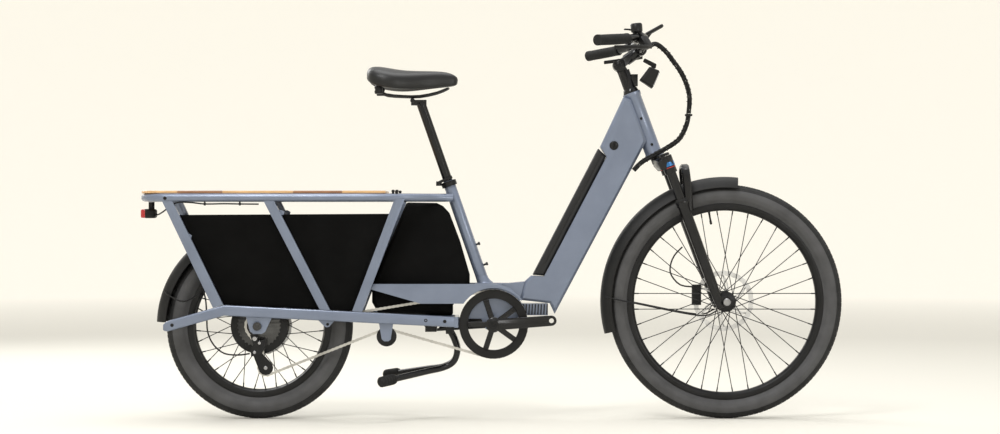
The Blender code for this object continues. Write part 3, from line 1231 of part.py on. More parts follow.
def build():
    clear_scene()
    make_front_frame()
    make_yoke()
    make_seat_tube()
    make_lower_stay("chainstay_right", -1)
    make_lower_stay("chainstay_left", 1)
    make_rack()
    make_panels()
    make_rear_fender()
    make_tail_light()
    make_battery()
    make_rear_axle()
    make_rear_caliper()
    make_front_wheel()
    make_rear_wheel()
    make_cranks()
    make_chain()
    make_cassette()
    pulley("chain_idler", IDLER, IDLER_PITCH - CHAIN_HALF_HEIGHT - 0.0014, 0.0290, 0.0037, BLACK_METAL)
    pulley("jockey_upper", JOCKEY_UPPER, JOCKEY_PITCH - CHAIN_HALF_HEIGHT - 0.0006, 0.0, 0.0030, BLACK_PLASTIC)
    pulley("jockey_lower", JOCKEY_LOWER, JOCKEY_LOWER_PITCH - CHAIN_HALF_HEIGHT - 0.0006, 0.0, 0.0030,
           BLACK_PLASTIC)
    make_derailleur()
    make_shift_cable()
    make_seat()
    make_stand()
    make_fork()
    make_lowers()
    make_cockpit()
    make_cables()


build()
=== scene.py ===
import json
from math import asin, atan2, cos, degrees, exp, hypot, pi, radians, sin

import bmesh
import bpy
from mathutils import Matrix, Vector

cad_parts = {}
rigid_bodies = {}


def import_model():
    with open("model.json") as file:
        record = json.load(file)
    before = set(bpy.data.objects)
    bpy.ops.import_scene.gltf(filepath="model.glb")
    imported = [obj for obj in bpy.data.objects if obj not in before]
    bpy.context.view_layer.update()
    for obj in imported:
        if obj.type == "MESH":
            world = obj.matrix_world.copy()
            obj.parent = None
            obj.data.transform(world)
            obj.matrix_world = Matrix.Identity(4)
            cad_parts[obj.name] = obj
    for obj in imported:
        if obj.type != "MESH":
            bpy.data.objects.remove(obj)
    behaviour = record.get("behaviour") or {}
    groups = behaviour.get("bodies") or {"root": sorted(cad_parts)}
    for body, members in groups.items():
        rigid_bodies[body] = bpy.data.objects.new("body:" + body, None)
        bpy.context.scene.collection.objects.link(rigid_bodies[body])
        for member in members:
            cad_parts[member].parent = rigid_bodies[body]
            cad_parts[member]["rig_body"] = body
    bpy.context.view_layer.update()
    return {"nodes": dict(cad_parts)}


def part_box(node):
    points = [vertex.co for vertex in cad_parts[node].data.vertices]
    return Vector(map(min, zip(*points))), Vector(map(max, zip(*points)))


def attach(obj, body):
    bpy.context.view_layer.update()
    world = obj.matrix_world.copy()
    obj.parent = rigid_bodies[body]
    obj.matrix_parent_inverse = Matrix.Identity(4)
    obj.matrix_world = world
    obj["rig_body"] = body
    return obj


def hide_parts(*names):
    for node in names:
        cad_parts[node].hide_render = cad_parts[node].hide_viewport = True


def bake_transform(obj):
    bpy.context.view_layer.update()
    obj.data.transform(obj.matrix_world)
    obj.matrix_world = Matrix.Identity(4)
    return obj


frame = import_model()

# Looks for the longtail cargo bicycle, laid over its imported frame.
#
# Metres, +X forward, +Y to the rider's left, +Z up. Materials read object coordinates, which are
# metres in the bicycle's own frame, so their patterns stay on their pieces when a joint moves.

CAMERA_DISTANCE = 7.0
CAMERA_HEIGHT = 0.588
CAMERA_X = 0.0246
LENS_MM = 86.2

FRONT_AXLE = Vector((0.6815, 0.0, 0.3415))
REAR_AXLE = Vector((-0.677, 0.0, 0.272))
BB = Vector((0.006, 0.0, 0.277))
STEER_TILT = radians(20.2)
STEER_MIDDLE = Vector((0.443, 0.0, 0.857))
STEER_UP = Vector((-sin(STEER_TILT), 0.0, cos(STEER_TILT)))
STEER_FORWARD = Vector((cos(STEER_TILT), 0.0, sin(STEER_TILT)))
LEG_FORWARD = 0.0243
LEG_HALF_SPACING = 0.06
RAIL_Z = 0.6443
CHAIN_Y = -0.049
CHAIN_PITCH = 0.0127
IDLER = Vector((-0.3046, CHAIN_Y, 0.2415))
JOCKEY_UPPER = Vector((-0.68, CHAIN_Y, 0.19))
JOCKEY_LOWER = Vector((-0.655, CHAIN_Y, 0.15))
CHAIN_GUIDE = Vector((-0.385, CHAIN_Y, 0.3115))
DECK_SEAMS = (-0.43, -0.571, -0.775, -0.905)
GAP = 0.0003
TURN = 2.0 * pi

FLAT_FLOOR = 12.0       # radius of the flat part
FLOOR_BEND = 3.0        # radius of the curve from floor to wall
WALL_TOP = 7.0
FLOOR_SIDES = 96
NEAR_GLOW = 0.03        # emission of the floor, which grows with distance so that the backdrop stays pale
FAR_GLOW = 0.385
GLOW_STARTS = 5.0
GLOW_ENDS = 11.0


# ---- camera, light and floor

def show(item):
    bpy.context.scene.collection.objects.link(item)


def make_stage():
    camera = bpy.data.cameras.new("camera")
    camera.lens = LENS_MM
    camera.sensor_width = 36.0
    camera_object = bpy.data.objects.new("camera", camera)
    camera_object.location = (CAMERA_X, -CAMERA_DISTANCE, CAMERA_HEIGHT)
    camera_object.rotation_euler = (radians(90.0), 0.0, 0.0)
    show(camera_object)
    bpy.context.scene.camera = camera_object
    bpy.context.scene.view_settings.view_transform = "Standard"
    add_light("key_light", (-1.5, -3.4, 4.4), (0.0, 0.0, 0.5), 1.6, 110.0)
    add_light("fill_light", (3.4, -4.5, 1.8), (0.2, 0.0, 0.5), 1.2, 34.0)
    add_light("top_light", (0.0, 0.4, 4.6), (0.0, 0.0, 0.3), 3.0, 95.0)
    add_light("rim_light", (-2.5, 3.0, 2.6), (0.0, 0.0, 0.6), 2.0, 50.0)
    make_world()
    make_floor()


def make_world():
    """A studio that is bright overhead and dim at the sides, so edges that face up catch the light."""
    world = bpy.data.worlds.new("studio")
    world.use_nodes = True
    tree = world.node_tree
    coordinates = tree.nodes.new("ShaderNodeTexCoord")
    split = tree.nodes.new("ShaderNodeSeparateXYZ")
    tree.links.new(coordinates.outputs["Generated"], split.inputs["Vector"])
    colours = add_ramp(tree, split.outputs["Z"], [(0.0, (0.42, 0.41, 0.39)), (0.3, (0.5, 0.495, 0.48)),
                                                  (0.55, (1.0, 0.985, 0.96))])
    background = tree.nodes["Background"]
    tree.links.new(colours, background.inputs["Color"])
    put(background, {"Strength": 0.95})
    bpy.context.scene.world = world


def add_light(name, place, target, size, power):
    light = bpy.data.lights.new(name, "AREA")
    light.size = size
    light.energy = power
    lamp = bpy.data.objects.new(name, light)
    lamp.location = place
    lamp.rotation_euler = (Vector(target) - Vector(place)).to_track_quat("-Z", "Y").to_euler()
    show(lamp)


def make_floor():
    """A pale round sheet that lies flat under the bicycle and curves up into a low wall far off."""
    profile = [(0.02, 0.0), (4.0, 0.0), (FLAT_FLOOR, 0.0)]
    for step in range(1, 13):
        angle = radians(90.0 * step / 12)
        profile.append((FLAT_FLOOR + FLOOR_BEND * sin(angle), FLOOR_BEND - FLOOR_BEND * cos(angle)))
    profile.append((FLAT_FLOOR + FLOOR_BEND, WALL_TOP))
    bm = bmesh.new()
    rows = []
    for step in range(FLOOR_SIDES):
        angle = radians(360.0 * step / FLOOR_SIDES)
        rows.append([bm.verts.new((r * cos(angle), r * sin(angle), z)) for r, z in profile])
    for index, here in enumerate(rows):
        after = rows[(index + 1) % FLOOR_SIDES]
        for level in range(len(profile) - 1):
            bm.faces.new((here[level], here[level + 1], after[level + 1], after[level]))
    bm.faces.new([row[0] for row in rows])
    mesh = bpy.data.meshes.new("floor")
    bm.to_mesh(mesh)
    bm.free()
    mesh.shade_smooth()
    floor = bpy.data.objects.new("floor", mesh)
    show(floor)
    material, tree, shader = new_material("floor_paper", (0.66, 0.645, 0.59), 0.0, 0.9)
    put(shader, {"Specular IOR Level": 0.0, "Emission Color": (1.0, 0.965, 0.89, 1.0)})
    coordinates = tree.nodes.new("ShaderNodeTexCoord")
    length = tree.nodes.new("ShaderNodeVectorMath")
    length.operation = "LENGTH"
    tree.links.new(coordinates.outputs["Object"], length.inputs[0])
    glow = add_range(tree, length.outputs["Value"], NEAR_GLOW, FAR_GLOW, GLOW_STARTS, GLOW_ENDS)
    tree.links.new(glow, shader.inputs["Emission Strength"])
    mesh.materials.append(material)


# ---- materials

def put(node, values):
    for name, value in values.items():
        node.inputs[name].default_value = value


def new_material(name, colour, metallic, roughness):
    material = bpy.data.materials.new(name)
    material.use_nodes = True
    tree = material.node_tree
    shader = tree.nodes["Principled BSDF"]
    put(shader, {"Base Color": (*colour, 1.0), "Metallic": metallic, "Roughness": roughness})
    return material, tree, shader


def object_coordinates(tree, stretch=(1.0, 1.0, 1.0)):
    coordinates = tree.nodes.new("ShaderNodeTexCoord")
    mapping = tree.nodes.new("ShaderNodeMapping")
    put(mapping, {"Scale": stretch})
    tree.links.new(coordinates.outputs["Object"], mapping.inputs["Vector"])
    return mapping.outputs["Vector"]


def add_noise(tree, scale, detail=3.0, stretch=(1.0, 1.0, 1.0)):
    noise = tree.nodes.new("ShaderNodeTexNoise")
    put(noise, {"Scale": scale, "Detail": detail})
    tree.links.new(object_coordinates(tree, stretch), noise.inputs["Vector"])
    return noise.outputs["Fac"]


def add_cells(tree, scale, stretch=(1.0, 1.0, 1.0)):
    cells = tree.nodes.new("ShaderNodeTexVoronoi")
    put(cells, {"Scale": scale})
    tree.links.new(object_coordinates(tree, stretch), cells.inputs["Vector"])
    return cells.outputs["Distance"]


def add_ramp(tree, value, stops):
    ramp = tree.nodes.new("ShaderNodeValToRGB")
    elements = ramp.color_ramp.elements
    while len(elements) < len(stops):
        elements.new(0.5)
    for element, (position, colour) in zip(elements, stops):
        element.position = position
        element.color = (*colour, 1.0)
    tree.links.new(value, ramp.inputs["Fac"])
    return ramp.outputs["Color"]


def add_range(tree, value, low, high, start=0.0, end=1.0):
    """Low where the value is at start, high where it is at end."""
    spread = tree.nodes.new("ShaderNodeMapRange")
    put(spread, {"From Min": start, "From Max": end, "To Min": low, "To Max": high})
    tree.links.new(value, spread.inputs["Value"])
    return spread.outputs["Result"]


def add_bump(tree, shader, height, strength, distance):
    bump = tree.nodes.new("ShaderNodeBump")
    put(bump, {"Strength": strength, "Distance": distance})
    tree.links.new(height, bump.inputs["Height"])
    tree.links.new(bump.outputs["Normal"], shader.inputs["Normal"])


def speckled(name, dark, light, metallic, rough, bump_scale, bump_depth, specular, patch_scale=14.0):
    """A finish whose colour and gloss wander in patches, over a fine grain."""
    dark, light = [(tone,) * 3 if isinstance(tone, float) else tone for tone in (dark, light)]
    material, tree, shader = new_material(name, light, metallic, rough[1])
    patches = add_noise(tree, patch_scale)
    tree.links.new(add_ramp(tree, patches, [(0.3, dark), (0.7, light)]), shader.inputs["Base Color"])
    tree.links.new(add_range(tree, patches, rough[1], rough[0]), shader.inputs["Roughness"])
    add_bump(tree, shader, add_noise(tree, bump_scale, 2.0), 0.35, bump_depth)
    put(shader, {"Specular IOR Level": specular})
    if name == "slate_blue_paint":
        put(shader, {"Coat Weight": 0.5, "Coat Roughness": 0.14})
    return material


def make_wood():
    """Lacquered bamboo: long grain, with every other board stained darker."""
    boards = []
    for name, dark, light in (("bamboo_light", (0.46, 0.25, 0.1), (0.66, 0.41, 0.19)),
                              ("bamboo_dark", (0.2, 0.085, 0.035), (0.34, 0.155, 0.065))):
        material, tree, shader = new_material(name, light, 0.0, 0.42)
        grain = add_noise(tree, 26.0, 6.0, (1.0, 12.0, 12.0))
        tree.links.new(add_ramp(tree, grain, [(0.32, dark), (0.66, light)]), shader.inputs["Base Color"])
        tree.links.new(add_range(tree, grain, 0.5, 0.34), shader.inputs["Roughness"])
        add_bump(tree, shader, grain, 0.3, 0.0003)
        put(shader, {"Coat Weight": 0.3, "Coat Roughness": 0.2})
        boards.append(material)
    return boards


def make_leather():
    material, tree, shader = new_material("saddle_leather", (0.006, 0.006, 0.006), 0.0, 0.5)
    grain = add_cells(tree, 700.0)
    tree.links.new(add_range(tree, add_noise(tree, 30.0), 0.3, 0.4), shader.inputs["Roughness"])
    put(shader, {"Specular IOR Level": 0.4})
    add_bump(tree, shader, grain, 0.4, 0.0004)
    return material


def make_lens(name, colour, transmission, roughness=0.08):
    material, tree, shader = new_material(name, colour, 0.0, roughness)
    put(shader, {"Transmission Weight": transmission, "Coat Weight": 0.6})
    add_bump(tree, shader, add_cells(tree, 320.0), 0.35, 0.0006)
    return material


# Name, dark and light colour (one number is a grey), metal, low and high roughness, grain scale and
# depth, specular level, and the scale of the patches where it isn't the usual one.
FINISHES = {
    "paint": ("slate_blue_paint", (0.15, 0.18, 0.25), (0.175, 0.208, 0.285), 0.4, (0.28, 0.36), 900.0,
              0.00004, 0.5),
    "black_metal": ("black_anodised", 0.006, (0.011, 0.011, 0.012), 0.3, (0.3, 0.42), 1200.0, 0.00008,
                    0.35),
    "gloss_black": ("black_gloss", 0.004, (0.007, 0.007, 0.008), 0.1, (0.14, 0.24), 600.0, 0.00003, 0.4),
    "black_plastic": ("black_moulded", 0.005, 0.008, 0.0, (0.45, 0.6), 1600.0, 0.0002, 0.3),
    "battery": ("battery_case", (0.008, 0.008, 0.009), (0.012, 0.012, 0.013), 0.0, (0.4, 0.52), 1400.0,
                0.00015, 0.35),
    "panel": ("guard_sheet", 0.0022, 0.0035, 0.0, (0.6, 0.75), 900.0, 0.0002, 0.06),
    "rubber": ("soft_rubber", 0.009, 0.015, 0.0, (0.7, 0.84), 1800.0, 0.0003, 0.3),
    "tyre": ("tyre_rubber", (0.048, 0.048, 0.05), (0.068, 0.068, 0.071), 0.0, (0.5, 0.66), 1500.0, 0.0003,
             0.4, 22.0),
    "tread": ("tread_rubber", 0.014, (0.024, 0.024, 0.025), 0.0, (0.66, 0.84), 1500.0, 0.0003, 0.3, 22.0),
    "silver": ("brushed_steel", (0.32, 0.32, 0.33), (0.48, 0.48, 0.49), 1.0, (0.22, 0.36), 500.0, 0.00006,
               0.5),
    "rotor": ("rotor_steel", 0.66, 0.8, 0.8, (0.28, 0.4), 300.0, 0.00005, 0.5),
    "chain": ("chain_steel", (0.38, 0.37, 0.35), (0.58, 0.57, 0.54), 1.0, (0.28, 0.42), 700.0, 0.00008,
              0.5),
    "dark_steel": ("dark_steel", (0.045, 0.045, 0.046), 0.1, 1.0, (0.24, 0.4), 700.0, 0.00008, 0.5),
    "blue_band": ("blue_band", (0.02, 0.12, 0.32), (0.03, 0.16, 0.4), 0.4, (0.25, 0.32), 600.0, 0.00003,
                  0.5),
    "red_band": ("red_band", (0.36, 0.02, 0.02), (0.45, 0.03, 0.03), 0.3, (0.3, 0.38), 600.0, 0.00003,
                 0.5),
}


def make_materials():
    materials = {key: speckled(*finish) for key, finish in FINISHES.items()}
    materials["light_wood"], materials["dark_wood"] = make_wood()
    materials["leather"] = make_leather()
    materials["red_lens"] = make_lens("red_lens", (0.52, 0.01, 0.012), 0.25)
    materials["clear_lens"] = make_lens("clear_lens", (0.8, 0.82, 0.85), 0.6)
    materials["screen"] = make_lens("dark_screen", (0.012, 0.014, 0.018), 0.0, 0.05)
    return materials


# ---- meshes

def link_mesh(name, bm, material, body, sharp=38.0, replaced=None):
    """Turn a bmesh into a smooth piece; it rides on a body if one is given.

    It may take the place of a CAD node.
    """
    bmesh.ops.recalc_face_normals(bm, faces=bm.faces)
    mesh = bpy.data.meshes.new(name)
    bm.to_mesh(mesh)
    bm.free()
    mesh.shade_smooth()
    mesh.set_sharp_from_angle(angle=radians(sharp))
    mesh.materials.append(MATERIALS[material])
    piece = bpy.data.objects.new(name, mesh)
    show(piece)
    if body:
        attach(piece, body)
    if replaced:
        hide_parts(replaced)
    return piece


def add_loft(bm, rings, closed=False):
    rows = [[bm.verts.new(point) for point in points] for points in rings]
    count = len(rows[0])
    pairs = list(zip(rows, rows[1:]))
    if closed:
        pairs.append((rows[-1], rows[0]))
    for first, second in pairs:
        for index in range(count):
            after = (index + 1) % count
            bm.faces.new((first[index], first[after], second[after], second[index]))
    if not closed:
        bm.faces.new(rows[0])
        bm.faces.new(list(reversed(rows[-1])))


def walk(points, normal):
    """Each point of a path, with its number and two directions square to the path there."""
    normal = Vector(normal)
    last = len(points) - 1
    for index, point in enumerate(points):
        tangent = (points[min(index + 1, last)] - points[max(index - 1, 0)]).normalized()
        normal = (normal - tangent * normal.dot(tangent)).normalized()
        yield index, point, normal, tangent.cross(normal)


def add_sweep(bm, points, section, normal=(0.013, 0.021, 1.0), scales=None):
    """A bar of one section along a path, thinner or thicker by its scales."""
    points = [Vector(point) for point in points]
    rings = []
    for index, point, normal, side in walk(points, normal):
        scale = scales[index] if scales else 1.0
        rings.append([point + normal * (a * scale) + side * (b * scale) for a, b in section])
    add_loft(bm, rings)


def mm(rows, side=1):
    """Rows of millimetres turned into metres; side -1 turns the sign of each row's second number."""
    return [tuple((side * value if index == 1 else value) / 1000 for index, value in enumerate(row))
            for row in rows]


def around(radius, angle, y=0.0):
    """A step from a wheel's middle to a point at this radius and angle."""
    return Vector((radius * cos(angle), y, radius * sin(angle)))


def circle(radius, sides):
    turn = TURN / sides
    return [(radius * cos(i * turn), radius * sin(i * turn)) for i in range(sides)]


def rounded(width, height, corner, steps=3):
    points = []
    for sign_a, sign_b, start in ((1, 1, 0), (-1, 1, 90), (-1, -1, 180), (1, -1, 270)):
        for step in range(steps + 1):
            angle = radians(start + 90.0 * step / steps)
            points.append((sign_a * (width / 2 - corner) + corner * cos(angle),
                           sign_b * (height / 2 - corner) + corner * sin(angle)))
    return points


def smooth_path(points, steps=4):
    points = [Vector(point) for point in points]
    padded = [2 * points[0] - points[1]] + points + [2 * points[-1] - points[-2]]
    result = []
    for index in range(1, len(padded) - 2):
        p0, p1, p2, p3 = padded[index - 1:index + 3]
        for step in range(steps):
            t = step / steps
            result.append(0.5 * (2 * p1 + (p2 - p0) * t + (2 * p0 - 5 * p1 + 4 * p2 - p3) * t * t
                                 + (3 * p1 - p0 - 3 * p2 + p3) * t ** 3))
    result.append(points[-1])
    return result


def spin_axes(axis):
    axis = Vector(axis).normalized()
    reference = Vector((1, 0, 0)) if abs(axis.x) < 0.9 else Vector((0, 0, 1))
    first = (reference - axis * reference.dot(axis)).normalized()
    return axis, first, axis.cross(first)


def add_ring(bm, profile, centre, axis=(0, -1, 0), segments=128, start=0.0, sweep=360.0):
    """A turned solid with a hole; the profile is a closed outline of (radius, offset)."""
    axis, first, second = spin_axes(axis)
    rings = []
    steps = segments if sweep >= 360.0 else segments + 1
    for index in range(steps):
        angle = radians(start + sweep * index / segments)
        ray = first * cos(angle) + second * sin(angle)
        rings.append([centre + ray * radius + axis * offset for radius, offset in profile])
    add_loft(bm, rings, closed=sweep >= 360.0)


def add_disc(bm, profile, centre, axis=(0, -1, 0), segments=40):
    """A turned solid without a hole, from one flat end to the other."""
    axis, first, second = spin_axes(axis)
    rings = []
    for radius, offset in profile:
        points = []
        for index in range(segments):
            angle = TURN * index / segments
            ray = first * cos(angle) + second * sin(angle)
            points.append(Vector(centre) + ray * radius + axis * offset)
        rings.append(points)
    add_loft(bm, rings)


def add_bolt(bm, centre, axis, radius=0.0045, height=0.003):
    """A socket-head bolt: a domed head with a sunk middle."""
    profile = [(radius, 0.0), (radius, height * 0.7), (radius * 0.82, height), (radius * 0.5, height),
               (radius * 0.42, height * 0.45)]
    add_disc(bm, profile, centre, axis, 16)


def add_plate(bm, outline, y_start, y_end):
    add_loft(bm, [[Vector((x, y, z)) for x, z in outline] for y in (y_start, y_end)])


def tube_piece(name, points, radius, material, body, sides=20, scales=None, replaced=None):
    bm = bmesh.new()
    add_sweep(bm, points, circle(radius, sides), scales=scales)
    link_mesh(name, bm, material, body, replaced=replaced)


def soften(node, material, width=0.001, segments=2):
    """A node's own shape with its coplanar facets joined and its edges rounded."""
    source = frame["nodes"][node]
    bm = bmesh.new()
    bm.from_mesh(source.data)
    bmesh.ops.remove_doubles(bm, verts=bm.verts, dist=0.00001)
    bmesh.ops.dissolve_limit(bm, angle_limit=radians(0.8), verts=bm.verts, edges=bm.edges)
    piece = link_mesh(node + "_finish", bm, material, source["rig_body"], sharp=180.0)
    bevel = piece.modifiers.new("edges", "BEVEL")
    bevel.width = width
    bevel.segments = segments
    bevel.limit_method = "ANGLE"
    bevel.angle_limit = radians(42.0)
    bevel.harden_normals = True
    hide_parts(node)


# ---- wheels

def tyre_profile(outer, seat, half_width, bead):
    """Casing with a bead lip and faint mould rings low on the sidewall."""
    half_height = (outer - seat - 0.0095) * 0.535
    middle = outer - half_height
    profile = [(seat + 0.0004, -bead + 0.0008), (seat + 0.0098, -bead)]
    for step in range(37):
        degrees = -128.0 + 256.0 * step / 36
        angle = radians(degrees)
        swell = 0.0
        if 88.0 < abs(degrees) < 100.0 or 112.0 < abs(degrees) < 118.0:
            swell = 0.0005
        tread = -0.0012 if abs(degrees) < 66.0 else 0.0
        profile.append((middle + (half_height + tread) * cos(angle),
                        (half_width + swell + tread * 0.6) * sin(angle)))
    profile += [(seat + 0.0098, bead), (seat + 0.0004, bead - 0.0008)]
    return profile, middle, half_height


def add_tread(bm, axle, middle, half_height, half_width, count, rows):
    """Low blocks in staggered rows, each bent to the crown of the tyre."""
    for row, (low, high, share, skew) in enumerate(rows):
        for index in range(count):
            start = TURN * (index + 0.5 * (row % 2)) / count
            reach = TURN * share / count
            rings = []
            for depth in (-0.0022, 0.0):
                corners = []
                for across, along in ((low, 0.0), (high, skew), (high, skew + reach), (low, reach)):
                    across = radians(across)
                    radius = middle + (half_height + depth) * cos(across)
                    side = (half_width + depth) * sin(across)
                    turn = start + along
                    corners.append(axle + around(radius, turn, side))
                rings.append(corners)
            add_loft(bm, rings)


def make_tyre(prefix, body, axle, outer, seat, half_width, bead, count):
    profile, middle, half_height = tyre_profile(outer, seat, half_width, bead)
    bm = bmesh.new()
    add_ring(bm, profile, axle, segments=180)
    casing = link_mesh(prefix + "_tyre_casing", bm, "tyre", body, sharp=60.0)
    casing.data.materials.append(MATERIALS["tread"])
    for face in casing.data.polygons:
        if hypot(face.center.x - axle.x, face.center.z - axle.z) > outer - half_height * 0.62:
            face.material_index = 1
    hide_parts(prefix + "_tyre")
    bm = bmesh.new()
    reach = TURN / count
    rows = [(-7.0, 7.0, 0.7, 0.0), (10.0, 27.0, 0.72, 0.18 * reach), (-27.0, -10.0, 0.72, -0.18 * reach),
            (30.0, 47.0, 0.68, 0.12 * reach), (-47.0, -30.0, 0.68, -0.12 * reach),
            (50.0, 64.0, 0.6, 0.0), (-64.0, -50.0, 0.6, 0.0)]
    add_tread(bm, axle, middle, half_height, half_width, count, rows)
    link_mesh(prefix + "_tyre_tread", bm, "tread", body, sharp=30.0)


def make_rim(prefix, body, axle, inner, seat, bead):
    wall = bead + GAP
    outer = wall + 0.0026
    edge = seat + 0.0095
    half = [(inner, 0.0068), (inner + 0.0008, 0.008), (inner + 0.005, outer - 0.0022),
            (inner + 0.008, outer - 0.0006), (edge - 0.001, outer), (edge, outer - 0.0006),
            (edge, wall + 0.0004), (seat + 0.002, wall), (seat - GAP, wall - 0.002)]
    profile = [(r, -y) for r, y in half] + [(r, y) for r, y in reversed(half)]
    bm = bmesh.new()
    add_ring(bm, profile, axle, segments=180)
    link_mesh(prefix + "_rim_finish", bm, "black_metal", body, replaced=prefix + "_rim")
    bm = bmesh.new()
    top = radians(100.0)
    ray = around(1.0, top)
    profile = mm([(3.4, 0), (3.4, 6), (2.9, 7), (2.9, 26), (3.6, 27), (3.6, 36), (2.2, 38)])
    add_disc(bm, profile, axle + ray * (inner + 0.001), -ray, 14)
    link_mesh(prefix + "_valve", bm, "black_metal", body)


def make_spokes(prefix, body, axle, hub_radius, hub_half, rim_radius, swing):
    """36 round spokes with a head at the flange and a nipple at the rim."""
    bm = bmesh.new()
    for side in (-1, 1):
        for index in range(18):
            hub_angle = radians(index * 20.0 + (0.0 if side < 0 else 20.0))
            lead = 1 if index % 2 else -1
            rim_angle = hub_angle - radians(lead * swing)
            start = axle + around(hub_radius, hub_angle, side * hub_half + lead * 0.0026)
            end = axle + around(rim_radius, rim_angle, side * 0.0022)
            along = (end - start).normalized()
            length = (end - start).length
            add_disc(bm, [(0.00125, 0.0), (0.00125, length - 0.012), (0.0019, length - 0.0118),
                          (0.0019, length + 0.0006)], start, along, 8)
            add_disc(bm, mm([(2, -1), (2, 1.2)]), start, (0, 1, 0), 10)
    link_mesh(prefix + "_spokes_finish", bm, "black_metal", body, replaced=prefix + "_spokes")


def add_rotor(bm, axle, y_centre, arms=6):
    """A brake disc with a lobed rim and swept arms."""
    lobes = 24
    steps = lobes * 6
    half = 0.0009
    rings = []
    for index in range(steps):
        angle = TURN * index / steps
        wave = 0.5 + 0.5 * cos(angle * lobes)
        outer = 0.0898 - 0.0022 * (1.0 - wave)
        inner = 0.0738 + 0.0016 * wave
        ray = around(1.0, angle)
        rings.append([axle + ray * r + Vector((0, y_centre + y, 0))
                      for r, y in ((inner, -half), (outer, -half), (outer, half), (inner, half))])
    add_loft(bm, rings, closed=True)
    for index in range(arms):
        for spread in (0.0, 0.32):
            base = TURN * index / arms
            points = []
            for step in range(6):
                share = step / 5
                radius = 0.021 + 0.055 * share
                angle = base + spread * (1.0 - share) + 0.55 * share
                points.append(axle + around(radius, angle, y_centre))
            add_sweep(bm, points, rounded(0.0017, 0.0042, 0.0004, 1), (0, 1, 0))
    add_ring(bm, [(0.0175, -half), (0.0245, -half), (0.0245, half), (0.0175, half)],
             axle + Vector((0, y_centre, 0)), (0, 1, 0), 48)


def make_front_hub():
    profile = mm([(7, -46), (10.5, -46), (11.2, -45), (12, -37.5), (15, -35.2), (29, -34.5), (30, -34),
                  (30, -32), (29, -31.5), (16.5, -30), (13.5, -24), (12.5, -12), (12.5, 12),
                  (13.5, 24), (16.5, 30), (29, 31.5), (30, 32), (30, 34), (29, 34.5), (20, 35.2),
                  (20, 41.5), (11.2, 45.5), (7, 46)])
    bm = bmesh.new()
    add_ring(bm, profile, FRONT_AXLE, (0, 1, 0), 64)
    link_mesh("front_hub_shell", bm, "black_metal", "front_wheel", replaced="front_hub")
    bm = bmesh.new()
    add_rotor(bm, FRONT_AXLE, 0.0395)
    for index in range(6):
        angle = radians(60.0 * index + 15.0)
        add_bolt(bm, FRONT_AXLE + around(0.0215, angle, 0.0404), (0, 1, 0),
                 0.003, 0.0016)
    link_mesh("front_rotor", bm, "rotor", "front_wheel")


def make_motor():
    profile = mm([(7.2, -28), (30, -28), (60, -27.4), (66, -26.6), (73.5, -25), (82.2, -24.7),
                  (83, -24.2), (83, -22.8), (82.2, -22.3), (74.5, -21.4), (73.8, -20), (73.8, 20),
                  (74.5, 21.4), (82.2, 22.3), (83, 22.8), (83, 24.2), (82.2, 24.7), (74, 25),
                  (68, 28.8), (60, 31), (30, 39.5), (22.5, 42), (22, 52), (20.5, 55.5), (7.2, 59.8)])
    bm = bmesh.new()
    add_ring(bm, profile, REAR_AXLE, (0, 1, 0), 96)
    for index in range(8):
        angle = radians(45.0 * index + 10.0)
        add_bolt(bm, REAR_AXLE + around(0.07, angle, -0.0252), (0, -1, 0),
                 0.0026, 0.0014)
    link_mesh("motor_shell", bm, "black_metal", "rear_wheel", replaced="hub_motor")
    bm = bmesh.new()
    add_rotor(bm, REAR_AXLE, 0.0535)
    link_mesh("rear_rotor", bm, "rotor", "rear_wheel")


def make_wheels():
    make_tyre("front", "front_wheel", FRONT_AXLE, 0.3415, 0.2768, 0.03, 0.0146, 144)
    make_rim("front", "front_wheel", FRONT_AXLE, 0.265, 0.2768, 0.0146)
    make_spokes("front", "front_wheel", FRONT_AXLE, 0.0275, 0.033, 0.2642, 55.0)
    make_front_hub()
    make_tyre("rear", "rear_wheel", REAR_AXLE, 0.272, 0.2, 0.0335, 0.0185, 116)
    make_rim("rear", "rear_wheel", REAR_AXLE, 0.1865, 0.2, 0.0185)
    make_spokes("rear", "rear_wheel", REAR_AXLE, 0.08, 0.0235, 0.1857, 15.0)
    make_motor()
    soften("rear_axle", "dark_steel", 0.0005)


# ---- drive

def gear_outline(radius, teeth, depth):
    """Pairs (angle, radius) round a sprocket with rounded teeth."""
    points = []
    for tooth in range(teeth):
        for share, reach in ((0.0, 0.0), (0.18, 0.1), (0.36, 0.85), (0.5, 1.0), (0.64, 0.85), (0.82, 0.1)):
            angle = TURN * (tooth + share) / teeth
            points.append((angle, radius - depth * (1.0 - reach)))
    return points


def add_sprocket(bm, centre, radius, teeth, depth, bore, half):
    """A toothed ring plate."""
    rings = []
    for angle, outer in gear_outline(radius, teeth, depth):
        ray = around(1.0, angle)
        rings.append([Vector(centre) + ray * r + Vector((0, y, 0))
                      for r, y in ((bore, -half), (outer - depth * 0.5, -half), (outer, -half * 0.4),
                                   (outer, half * 0.4), (outer - depth * 0.5, half), (bore, half))])
    add_loft(bm, rings, closed=True)


def tangent_points(first, second):
    """Touch points of a line between two circles; turn is +1 anticlockwise, -1 clockwise."""
    x1, z1, r1, turn1 = first
    x2, z2, r2, turn2 = second
    distance = hypot(x2 - x1, z2 - z1)
    heading = atan2(z2 - z1, x2 - x1) + asin((turn1 * r1 - turn2 * r2) / distance)
    normal = (sin(heading), -cos(heading))
    return ((x1 + turn1 * r1 * normal[0], z1 + turn1 * r1 * normal[1]),
            (x2 + turn2 * r2 * normal[0], z2 + turn2 * r2 * normal[1]))


